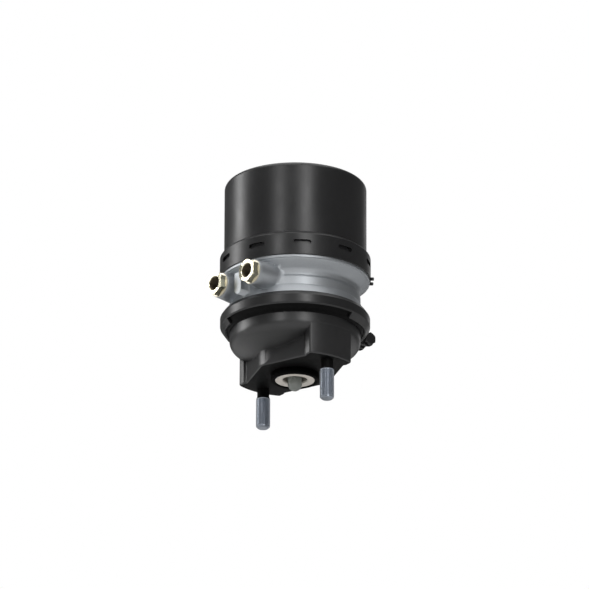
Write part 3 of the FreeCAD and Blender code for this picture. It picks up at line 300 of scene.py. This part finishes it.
class Coat(Enum):
    """The finishes of the actuator's pieces."""

    BLACK_PAINT = Finish("black_paint", (0.012, 0.012, 0.0125), 0.35, grain_scale=260.0, grain_depth=0.02)
    CLAMP_PAINT = Finish("clamp_paint", (0.013, 0.013, 0.0135), 0.34, grain_scale=300.0, grain_depth=0.06)
    # The housing's sheen is dimmed in its creases by painted crevice shade.
    HOUSING_PAINT = Finish(
        "housing_paint", (0.015, 0.015, 0.0155), 0.36, specular=0.7, grain_scale=220.0, grain_depth=0.08,
        edge=1.2 * MM, crevice_shade=26.0 * MM,
    )
    ALUMINIUM = Finish(
        "cast_aluminium", (0.44, 0.46, 0.48), 0.50, metallic=1.0, grain_scale=520.0, grain_depth=0.12,
        tone_spread=0.12, edge=0.8 * MM,
    )
    ZINC = Finish(
        "zinc_steel", (0.34, 0.37, 0.42), 0.24, metallic=1.0, grain_depth=0.02, roughness_spread=0.02,
    )
    CHROMATE = Finish("yellow_plating", (0.80, 0.76, 0.58), 0.26, metallic=1.0, grain_depth=0.04)
    COLLAR_PLATING = Finish("collar_plating", (0.62, 0.58, 0.48), 0.36, metallic=1.0, grain_depth=0.05)
    TAPPED_BORE = Finish("tapped_bore", (0.05, 0.038, 0.018), 0.32, metallic=0.6, grain_depth=0.05, edge=0.0)
    STEEL = Finish("bright_steel", (0.56, 0.57, 0.58), 0.3, metallic=1.0, grain_depth=0.05)
    SPRING_STEEL = Finish("spring_steel", (0.16, 0.165, 0.17), 0.4, metallic=1.0, grain_depth=0.1)
    # Near-black matt finish that paints shade onto faces where shade falls.
    SHADED_PAINT = Finish("painted_shade", (0.0025, 0.0025, 0.0025), 0.6, specular=0.1, edge=0.0)
    RUBBER = Finish("rubber", (0.002, 0.002, 0.002), 0.75, specular=0.06, grain_scale=700.0)
    PALE_PLASTIC = Finish("pale_plastic", (0.80, 0.75, 0.68), 0.5, grain_depth=0.05)
    DARK_PLASTIC = Finish("dark_plastic", (0.02, 0.02, 0.02), 0.45)
    BROWN_RUBBER = Finish("brown_rubber", (0.026, 0.019, 0.013), 0.6, specular=0.2)
    ROD_COATING = Finish("rod_coating", (0.22, 0.235, 0.215), 0.26, specular=0.8, grain_depth=0.03)


class Wardrobe:
    """Builds each finish once and hands it out."""

    def __init__(self) -> None:
        """Makes the shared groups and all materials."""
        groups = {"fine_grain": grain_group(), "slow_spread": spread_group()}
        self.materials = {coat: coat.value.material(groups) for coat in Coat}

    def dress(self, piece: bpy.types.Object, coat: Coat) -> None:
        """Gives a piece one finish.

        Args:
            piece: The object to dress.
            coat: The finish.
        """
        piece.data.materials.clear()
        piece.data.materials.append(self.materials[coat])

    def patch(
        self, piece: bpy.types.Object, coat: Coat, wanted: Callable[[bpy.types.MeshPolygon], bool]
    ) -> None:
        """Gives some faces of a piece another finish.

        Args:
            piece: The object.
            coat: The finish of those faces.
            wanted: Tells whether a face is one of them.
        """
        piece.data.materials.append(self.materials[coat])
        for face in piece.data.polygons:
            if wanted(face):
                face.material_index = len(piece.data.materials) - 1


# Shared ways of shaping


@dataclass
class Workshop:
    """What every sub-assembly needs: the frame's nodes and the finishes."""

    nodes: dict[str, bpy.types.Object]
    wardrobe: Wardrobe

    def finish_mesh(
        self, shape: bmesh.types.BMesh, name: str, coat: Coat, sharp: float = 32.0
    ) -> bpy.types.Object:
        """Turns a bmesh into a smooth-shaded, dressed object at the origin.

        Args:
            shape: The bmesh, freed here.
            name: The object's name.
            coat: Its finish.
            sharp: Edges steeper than this many degrees stay sharp.

        Returns:
            The new object.
        """
        bmesh.ops.recalc_face_normals(shape, faces=shape.faces)
        mesh = bpy.data.meshes.new(name)
        shape.to_mesh(mesh)
        shape.free()
        mesh.polygons.foreach_set("use_smooth", [True] * len(mesh.polygons))
        mesh.set_sharp_from_angle(angle=math.radians(sharp))
        round_walls(mesh)
        made = bpy.data.objects.new(name, mesh)
        bpy.context.scene.collection.objects.link(made)
        self.wardrobe.dress(made, coat)
        return made

    def smoothed(self, node: str, body: Body, coat: Coat, sharp: float) -> bpy.types.Object:
        """Stands a merged, smooth-shaded copy in for a CAD node.

        Args:
            node: The node's name.
            body: The body that the node belongs to.
            coat: Its finish.
            sharp: Edges steeper than this many degrees stay sharp.

        Returns:
            The copy.
        """
        shape = bmesh.new()
        shape.from_mesh(self.nodes[node].data)
        bmesh.ops.remove_doubles(shape, verts=shape.verts, dist=MERGE)
        copy = self.finish_mesh(shape, f"{node}_skin", coat, sharp)
        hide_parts(node)
        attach(copy, body.value)
        return copy


def round_walls(mesh: bpy.types.Mesh) -> None:
    """Gives faces that belong to a wall about the Z axis the wall's true normals.

    Args:
        mesh: The mesh; faces that aren't part of such a wall keep their normals.
    """
    normals = [corner.vector.copy() for corner in mesh.corner_normals]
    for face in mesh.polygons:
        if abs(face.normal.z) > WALL_TILT:
            continue
        middle = Vector((face.center.x, face.center.y, 0.0))
        if middle.length < WALL_RADIUS or abs(face.normal.dot(middle.normalized())) < WALL_MATCH:
            continue
        side = math.copysign(1.0, face.normal.dot(middle))
        for corner, vert in zip(face.loop_indices, face.vertices):
            place = mesh.vertices[vert].co
            normals[corner] = Vector((place.x, place.y, 0.0)).normalized() * side
    mesh.normals_split_custom_set(normals)


def spun(points: list[tuple[float, float]], steps: int = 96) -> bmesh.types.BMesh:
    """Turns a profile about Z.

    Args:
        points: (radius, z) in metres; a closed loop unless it starts and ends on the axis.
        steps: Facets round the axis.

    Returns:
        The closed solid of revolution.
    """
    shape = bmesh.new()
    verts = [shape.verts.new((radius, 0.0, z)) for radius, z in points]
    edges = [shape.edges.new(pair) for pair in zip(verts, verts[1:])]
    if points[0][0] > 0.0 or points[-1][0] > 0.0:
        edges.append(shape.edges.new((verts[-1], verts[0])))
    bmesh.ops.spin(
        shape, geom=verts + edges, cent=ORIGIN, axis=Z_AXIS, dvec=ORIGIN, angle=FULL_TURN, steps=steps,
        use_merge=True, use_duplicate=False,
    )
    bmesh.ops.remove_doubles(shape, verts=shape.verts, dist=0.001 * MM)
    return shape


@dataclass
class Thread:
    """A rolled or tapped thread about Z, made as one pitch spun up a helix."""

    crest: float
    root: float
    low: float
    high: float
    pitch: float = 1.5 * MM
    turn_steps: int = 48
    taper_low: float = 0.0
    taper_high: float = 0.0

    def shape(self) -> bmesh.types.BMesh:
        """Builds the threaded surface, open at both ends.

        Returns:
            The surface between low and high.
        """
        shape = bmesh.new()
        flat = self.pitch / 8
        outline = [(self.root, 0.0), (self.root, flat), (self.crest, self.pitch / 2 - flat / 2),
                   (self.crest, self.pitch / 2 + flat / 2), (self.root, self.pitch)]
        verts = [shape.verts.new((radius, 0.0, z)) for radius, z in outline]
        edges = [shape.edges.new(pair) for pair in zip(verts, verts[1:])]
        turns = math.ceil((self.high - self.low) / self.pitch) + 3
        rise = Vector((0.0, 0.0, self.pitch / self.turn_steps))
        bmesh.ops.spin(
            shape, geom=verts + edges, cent=ORIGIN, axis=Z_AXIS, dvec=rise, angle=FULL_TURN * turns,
            steps=turns * self.turn_steps, use_merge=False, use_duplicate=False,
        )
        bmesh.ops.remove_doubles(shape, verts=shape.verts, dist=0.01 * MM)
        bmesh.ops.translate(shape, verts=shape.verts, vec=(0.0, 0.0, self.low - 1.5 * self.pitch))
        for height, side in ((self.low, -1.0), (self.high, 1.0)):
            bmesh.ops.bisect_plane(
                shape, geom=shape.verts[:] + shape.edges[:] + shape.faces[:], plane_co=(0.0, 0.0, height),
                plane_no=(0.0, 0.0, side), clear_outer=True,
            )
        for vert in shape.verts:
            self.limit(vert)
        return shape

    def limit(self, vert: bmesh.types.BMVert) -> None:
        """Draws a vertex in to the lead-in cone at either end."""
        radius = math.hypot(vert.co.x, vert.co.y)
        away_low = self.crest - max(self.taper_low - (vert.co.z - self.low), 0.0)
        away_high = self.crest - max(self.taper_high - (self.high - vert.co.z), 0.0)
        allowed = min(away_low, away_high)
        if self.crest > self.root and radius > allowed:
            vert.co.x *= allowed / radius
            vert.co.y *= allowed / radius


# Sub-assemblies


@dataclass
class MountingStuds:
    """The two studs that bolt the actuator to the caliper."""

    spacing: float = 120.65 * MM
    diameter: float = 16.0 * MM
    neck_diameter: float = 13.6 * MM
    neck_length: float = 9.0 * MM
    cone: float = 3.2 * MM
    tip_chamfer: float = 2.1 * MM
    thread_depth: float = 0.6 * MM

    def build(self, shop: Workshop) -> list[bpy.types.Object]:
        """Builds both studs with rolled threads.

        Args:
            shop: The workshop.

        Returns:
            The studs.
        """
        low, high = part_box("mounting_studs")
        head = shop.nodes["mounting_studs"]
        shape = bmesh.new()
        for side in (-1.0, 1.0):
            for part in (self.threaded_end(low.z), self.plain_end(low.z, high.z)):
                bmesh.ops.translate(part, verts=part.verts, vec=(side * self.spacing / 2, 0.0, 0.0))
                join_into(shape, part)
        studs = shop.finish_mesh(shape, "threaded_studs", Coat.ZINC)
        # The neck and the top of its cone, just under the pad, get the near-black painted-shade finish.
        dark_neck_top = -self.neck_length - self.cone / 2
        shop.wardrobe.patch(studs, Coat.SHADED_PAINT, lambda face: face.center.z > dark_neck_top)
        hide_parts(head.name)
        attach(studs, Body.ROOT.value)
        return [studs]

    def threaded_end(self, tip: float) -> bmesh.types.BMesh:
        """The threaded length, capped at both ends."""
        thread = Thread(
            crest=self.diameter / 2, root=self.diameter / 2 - self.thread_depth, low=tip,
            high=-self.neck_length - self.cone, taper_low=self.tip_chamfer, taper_high=self.thread_depth,
        ).shape()
        bmesh.ops.holes_fill(thread, edges=thread.edges, sides=0)
        return thread

    def plain_end(self, tip: float, top: float) -> bmesh.types.BMesh:
        """The bare neck, its cone and the shank inside the housing."""
        neck = self.neck_diameter / 2
        full = self.diameter / 2
        core = full - self.thread_depth - 0.3 * MM
        cone_low = -self.neck_length - self.cone
        return spun([(0.0, tip + self.tip_chamfer), (core, tip + self.tip_chamfer), (core, cone_low - 1.0 * MM),
                     (full - 0.4 * MM, cone_low - 0.4 * MM), (full - 0.1 * MM, cone_low + 0.3 * MM),
                     (neck, -self.neck_length), (neck, 0.0), (full, 0.0), (full, top), (0.0, top)], 48)


def join_into(target: bmesh.types.BMesh, part: bmesh.types.BMesh) -> None:
    """Adds a bmesh to another and frees it.

    Args:
        target: The bmesh that grows.
        part: The bmesh that is added.
    """
    mesh = bpy.data.meshes.new("part")
    part.to_mesh(mesh)
    part.free()
    target.from_mesh(mesh)
    bpy.data.meshes.remove(mesh)


@dataclass
class PortInserts:
    """The two hexagonal inserts with the M16 threads that the air lines screw into."""

    angle: float = -84.5
    spacing: float = 55.0 * MM
    face: float = 97.8 * MM
    across_flats: float = 24.0 * MM
    hex_depth: float = 7.7 * MM
    crown: float = 1.1 * MM
    rim: float = 12.9 * MM
    collar_radius: float = 13.9 * MM
    collar: float = 1.6 * MM
    edge: float = 0.35 * MM
    shank_radius: float = 10.0 * MM
    shank: float = 12.0 * MM
    bore: float = 8.0 * MM
    mouth: float = 8.5 * MM
    thread_depth: float = 0.9 * MM
    pitch: float = 2.4 * MM

    def build(self, shop: Workshop) -> list[bpy.types.Object]:
        """Builds both inserts.

        Args:
            shop: The workshop.

        Returns:
            Nuts with their collars, and the tapped sleeves inside them.
        """
        made = []
        for side, node in ((-1.0, "service_port_insert"), (1.0, "spring_port_insert")):
            low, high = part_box(node)
            across = row_direction(self.angle + 90.0) * (side * self.spacing / 2)
            centre = across + row_direction(self.angle) * self.face + Z_AXIS * (low.z + high.z) / 2
            turn = row_direction(self.angle).to_track_quat("Z", "X").to_matrix().to_4x4()
            stand = Matrix.Translation(centre) @ turn
            for shape, name, coat in ((self.nut(), "nut", Coat.CHROMATE),
                                      (self.backing(), "collar", Coat.COLLAR_PLATING),
                                      (self.sleeve(), "thread", Coat.TAPPED_BORE)):
                bmesh.ops.transform(shape, matrix=stand, verts=shape.verts)
                piece = shop.finish_mesh(shape, f"{node}_{name}", coat)
                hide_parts(node)
                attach(piece, Body.ROOT.value)
                made.append(piece)
        return made

    def nut(self) -> bmesh.types.BMesh:
        """The chamfered hexagon, cut from a turned blank.

        Returns:
            The nut, its face at z = 0 and its body below.
        """
        corner = self.across_flats / math.sqrt(3.0)
        shape = spun([
            (self.mouth, -self.edge), (self.mouth + self.edge, 0.0), (self.rim - self.edge, 0.0),
            (self.rim, -self.edge), (corner, -self.crown), (corner, -self.hex_depth),
            (self.bore, -self.hex_depth), (self.bore, -2 * self.edge),
        ])
        for index in range(6):
            outward = row_direction(60.0 * index + 30.0)
            cut = bmesh.ops.bisect_plane(
                shape, geom=shape.verts[:] + shape.edges[:] + shape.faces[:],
                plane_co=outward * self.across_flats / 2, plane_no=outward, clear_outer=True,
            )
            rims = [edge for edge in cut["geom_cut"] if isinstance(edge, bmesh.types.BMEdge)]
            bmesh.ops.holes_fill(shape, edges=rims, sides=0)
        return shape

    def backing(self) -> bmesh.types.BMesh:
        """The round collar behind the nut and the shank in the boss."""
        seat = -self.hex_depth - self.collar
        return spun([
            (self.bore, -self.hex_depth), (self.collar_radius - self.collar / 3, -self.hex_depth),
            (self.collar_radius, -self.hex_depth - self.collar / 3), (self.collar_radius, seat),
            (self.shank_radius, seat), (self.shank_radius, seat - self.shank), (self.bore, seat - self.shank),
        ])

    def sleeve(self) -> bmesh.types.BMesh:
        """The tapped thread inside, closed behind its crests."""
        bottom = -self.hex_depth - self.collar - self.shank
        thread = Thread(
            crest=self.bore - self.thread_depth, root=self.bore, low=bottom + self.edge, high=-3 * self.edge,
            pitch=self.pitch,
        ).shape()
        rims = [edge for edge in thread.edges if edge.is_boundary]
        outer = bmesh.ops.extrude_edge_only(thread, edges=rims)["geom"]
        for vert in (part for part in outer if isinstance(part, bmesh.types.BMVert)):
            vert.co.xy = vert.co.xy.normalized() * (self.bore + self.edge / 2)
        bmesh.ops.bridge_loops(thread, edges=[part for part in outer if isinstance(part, bmesh.types.BMEdge)])
        return thread


@dataclass
class RigidSkins:
    """The rigid pieces whose CAD form is shown as it is, with merged and smooth faces."""

    coats: dict[str, tuple[Body, Coat]] = field(default_factory=lambda: {
        "service_housing": (Body.ROOT, Coat.HOUSING_PAINT),
        "clamp_ring": (Body.ROOT, Coat.CLAMP_PAINT),
        "flange_housing": (Body.ROOT, Coat.ALUMINIUM),
        "spring_canister": (Body.ROOT, Coat.BLACK_PAINT),
        "locking_collar": (Body.ROOT, Coat.BLACK_PAINT),
        "lock_wire": (Body.ROOT, Coat.DARK_PLASTIC),
        "mouth_seal": (Body.ROOT, Coat.RUBBER),
        "guide_ring": (Body.ROOT, Coat.PALE_PLASTIC),
        "drain_plugs": (Body.ROOT, Coat.RUBBER),
        "clamp_bolt": (Body.ROOT, Coat.CLAMP_PAINT),
        "clamp_nut": (Body.ROOT, Coat.CLAMP_PAINT),
        "clamp_washers": (Body.ROOT, Coat.CLAMP_PAINT),
        "housing_seal": (Body.ROOT, Coat.RUBBER),
        "tube_seal": (Body.ROOT, Coat.RUBBER),
        "tube_guide_band": (Body.ROOT, Coat.DARK_PLASTIC),
        "top_bush": (Body.ROOT, Coat.DARK_PLASTIC),
        "thrust_washer": (Body.ROOT, Coat.STEEL),
        "spring_piston": (Body.PISTON, Coat.ALUMINIUM),
        "piston_tube": (Body.PISTON, Coat.STEEL),
        "piston_foot": (Body.PISTON, Coat.DARK_PLASTIC),
        "piston_clip": (Body.PISTON, Coat.STEEL),
        "piston_seal": (Body.PISTON, Coat.RUBBER),
        "piston_guide_band": (Body.PISTON, Coat.DARK_PLASTIC),
        "push_rod": (Body.ROD, Coat.ROD_COATING),
        "push_plate": (Body.ROD, Coat.ZINC),
        "release_nut": (Body.NUT, Coat.STEEL),
        "release_screw": (Body.SCREW, Coat.ZINC),
        "screw_clip": (Body.SCREW, Coat.STEEL),
    })

    usual_crease: float = 28.0
    creases: dict[str, float] = field(default_factory=lambda: {"service_housing": 13.0})
    window_margin: float = 1.5 * MM
    overhang: float = 0.3
    lip_height: float = 8.0 * MM
    # Height below which the housing's pad face gets painted shade.
    pad_shade_top: float = 0.3 * MM
    rim_shade: float = 1.5 * MM

    def build(self, shop: Workshop) -> list[bpy.types.Object]:
        """Stands a smooth copy in for each node, and paints shade into the collar's window recesses, the housing's
        pad face and its rim gap.

        Args:
            shop: The workshop.

        Returns:
            The copies.
        """
        made = {
            node: shop.smoothed(node, body, coat, self.creases.get(node, self.usual_crease))
            for node, (body, coat) in self.coats.items()
        }
        low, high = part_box("locking_collar")
        wall = high.x - self.window_margin
        # Painted shade: the downward-facing walls of the collar's window recesses get the near-black painted-shade
        # finish.
        shop.wardrobe.patch(
            made["locking_collar"], Coat.SHADED_PAINT,
            lambda face: face.normal.z < -self.overhang and face.center.z > low.z + self.lip_height
            and face.center.xy.length > wall,
        )
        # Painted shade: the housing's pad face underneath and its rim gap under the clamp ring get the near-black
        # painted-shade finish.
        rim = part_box("clamp_ring")[0].z - self.rim_shade
        shop.wardrobe.patch(
            made["service_housing"], Coat.SHADED_PAINT,
            lambda face: face.center.z < self.pad_shade_top
            or (face.center.z > rim and face.center.xy.length < wall),
        )
        return list(made.values())


@dataclass
class FlexibleParts:
    """Springs, diaphragm and bellows, which change shape with the stroke."""

    def build(self, shop: Workshop) -> list[bpy.types.Object]:
        """Dresses the flexible pieces.

        Args:
            shop: The workshop.

        Returns:
            The pieces.
        """
        made = []
        for node, other, coat in (("power_spring", Body.PISTON, Coat.SPRING_STEEL),
                                  ("return_spring", Body.ROD, Coat.SPRING_STEEL),
                                  ("diaphragm", Body.ROD, Coat.RUBBER),
                                  ("rod_boot", Body.ROD, Coat.BROWN_RUBBER)):
            shape = bmesh.new()
            shape.from_mesh(shop.nodes[node].data)
            bmesh.ops.remove_doubles(shape, verts=shape.verts, dist=MERGE)
            piece = shop.finish_mesh(shape, f"{node}_skin", coat, 40.0)
            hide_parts(node)
            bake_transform(piece)
            made.append(piece)
        return made


# Studio


@dataclass
class Softbox:
    """One rectangular studio light."""

    name: str
    turn: float
    elevation: float
    distance: float
    width: float
    height: float
    power: float

    def build(self, middle: Vector) -> None:
        """Stands the light up, facing the object.

        Args:
            middle: The point that it faces.
        """
        lamp = bpy.data.lights.new(self.name, "AREA")
        lamp.shape = "RECTANGLE"
        lamp.size = self.width
        lamp.size_y = self.height
        lamp.energy = self.power
        holder = bpy.data.objects.new(self.name, lamp)
        away = row_direction(self.turn, self.elevation)
        holder.location = middle + away * self.distance
        holder.rotation_euler = (-away).to_track_quat("-Z", "Y").to_euler()
        holder.visible_camera = False
        bpy.context.scene.collection.objects.link(holder)


@dataclass
class Studio:
    """Lights, pale surroundings, floor and camera."""

    azimuth: float = 53.8
    elevation: float = -20.9
    roll: float = 0.2
    lens: float = 400.0
    sensor: float = 36.0
    distance: float = 7.36
    aim_height: float = 96.3 * MM
    aim_left: float = 0.79 * MM
    floor_z: float = -80.0 * MM
    floor_size: float = 6.0
    paleness: float = 0.9
    floor_glow: float = 0.7
    glossy_share: float = 0.14
    ambient: float = 0.10
    lights: tuple[Softbox, ...] = (
        Softbox("left_box", -136.0, 21.0, 1.3, 0.28, 0.9, 6.4),
        Softbox("front_strip", -20.0, 21.0, 1.3, 0.16, 0.9, 4.6),
        Softbox("weak_strip", -61.0, 21.0, 1.5, 0.10, 0.7, 3.0),
        Softbox("rim_box", 119.0, 21.0, 1.3, 0.3, 0.9, 0.5),
        Softbox("overhead", -36.0, 80.0, 1.2, 1.4, 1.4, 11.0),
    )

    def build(self) -> None:
        """Sets up lights, world, floor and camera."""
        middle = Vector((0.0, 0.0, self.aim_height))
        for light in self.lights:
            light.build(middle)
        self.surroundings()
        self.floor()
        self.camera(middle)

    def surroundings(self) -> None:
        """World: white to the camera and through glass, a share of it in reflections, dim as light."""
        world = bpy.data.worlds.new("studio")
        world.use_nodes = True
        bpy.context.scene.world = world
        world.node_tree.nodes.clear()
        graph = Nodes(world.node_tree)
        out = graph.add("ShaderNodeOutputWorld")
        path = graph.add("ShaderNodeLightPath")
        seen = graph.add("ShaderNodeMath", operation="MAXIMUM")
        white = graph.add("ShaderNodeBackground", Strength=1.0)
        white.inputs["Color"].default_value = (1.0, 1.0, 1.0, 1.0)
        mirrored = graph.add("ShaderNodeBackground", Strength=self.glossy_share)
        mirrored.inputs["Color"].default_value = (1.0, 1.0, 1.0, 1.0)
        dim = graph.add("ShaderNodeBackground", Strength=self.ambient)
        dim.inputs["Color"].default_value = (1.0, 1.0, 1.0, 1.0)
        inner = graph.add("ShaderNodeMixShader")
        outer = graph.add("ShaderNodeMixShader")
        graph.join(path.outputs["Is Camera Ray"], seen.inputs[0])
        graph.join(path.outputs["Is Transmission Ray"], seen.inputs[1])
        graph.join(path.outputs["Is Glossy Ray"], inner.inputs[0])
        graph.join(dim.outputs[0], inner.inputs[1])
        graph.join(mirrored.outputs[0], inner.inputs[2])
        graph.join(seen.outputs[0], outer.inputs[0])
        graph.join(inner.outputs[0], outer.inputs[1])
        graph.join(white.outputs[0], outer.inputs[2])
        graph.join(outer.outputs[0], out.inputs["Surface"])

    def floor(self) -> None:
        """Pale floor below the stud tips, seen only from above."""
        shape = bmesh.new()
        bmesh.ops.create_grid(
            shape, x_segments=1, y_segments=1, size=self.floor_size / 2,
            matrix=Matrix.Translation((0.0, 0.0, self.floor_z)),
        )
        mesh = bpy.data.meshes.new("floor")
        shape.to_mesh(mesh)
        shape.free()
        floor = bpy.data.objects.new("floor", mesh)
        bpy.context.scene.collection.objects.link(floor)
        material = bpy.data.materials.new("floor_paper")
        material.use_nodes = True
        material.node_tree.nodes.clear()
        graph = Nodes(material.node_tree)
        out = graph.add("ShaderNodeOutputMaterial")
        paper = graph.add("ShaderNodeBsdfDiffuse")
        paper.inputs["Color"].default_value = (self.paleness, self.paleness, self.paleness, 1.0)
        clear = graph.add("ShaderNodeBsdfTransparent")
        side = graph.add("ShaderNodeNewGeometry")
        path = graph.add("ShaderNodeLightPath")
        share = graph.add("ShaderNodeMath", operation="MULTIPLY")
        share.inputs[1].default_value = self.floor_glow
        glow = graph.add("ShaderNodeEmission", Strength=1.0)
        glow.inputs["Color"].default_value = (self.paleness, self.paleness, self.paleness, 1.0)
        sheet = graph.add("ShaderNodeMixShader")
        mix = graph.add("ShaderNodeMixShader")
        graph.join(path.outputs["Is Camera Ray"], share.inputs[0])
        graph.join(share.outputs[0], sheet.inputs[0])
        graph.join(paper.outputs[0], sheet.inputs[1])
        graph.join(glow.outputs[0], sheet.inputs[2])
        graph.join(side.outputs["Backfacing"], mix.inputs[0])
        graph.join(sheet.outputs[0], mix.inputs[1])
        graph.join(clear.outputs[0], mix.inputs[2])
        graph.join(mix.outputs[0], out.inputs["Surface"])
        mesh.materials.append(material)
        floor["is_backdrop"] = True

    def camera(self, middle: Vector) -> None:
        """Camera at the photograph's viewing angle.

        Args:
            middle: The point on the axis at the picture's middle height.
        """
        data = bpy.data.cameras.new("camera")
        data.lens = self.lens
        data.sensor_width = self.sensor
        data.clip_end = 50.0
        camera = bpy.data.objects.new("camera", data)
        away = row_direction(self.azimuth - 90.0, self.elevation)
        left = -row_direction(self.azimuth)
        target = middle + left * self.aim_left
        camera.location = target + away * self.distance
        turned = (-away).to_track_quat("-Z", "Y").to_matrix()
        camera.rotation_euler = (turned @ Matrix.Rotation(math.radians(self.roll), 3, "Z")).to_euler()
        bpy.context.scene.collection.objects.link(camera)
        bpy.context.scene.camera = camera


def write_size(name: str, sizes: dict[str, list[float]]) -> None:
    """Args:
        name: Which moment the bounds belong to.
        sizes: The record so far, which grows.
    """
    low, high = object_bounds()
    sizes[name] = [round(value, 5) for value in (*low, *high)]


def main() -> None:
    """Builds the looks in order."""
    logging.basicConfig(level=logging.INFO, format="%(message)s")
    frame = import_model()
    sizes: dict[str, list[float]] = {}
    write_size("loaded", sizes)
    shop = Workshop(frame["nodes"], Wardrobe())
    for part in (RigidSkins(), MountingStuds(), PortInserts(), FlexibleParts()):
        for piece in part.build(shop):
            LOG.info("%s: %d faces", piece.name, len(piece.data.polygons))
    Studio().build()
    view = bpy.context.scene.view_settings
    view.view_transform = "Standard"
    write_size("finished", sizes)


if __name__ == "__main__":
    main()
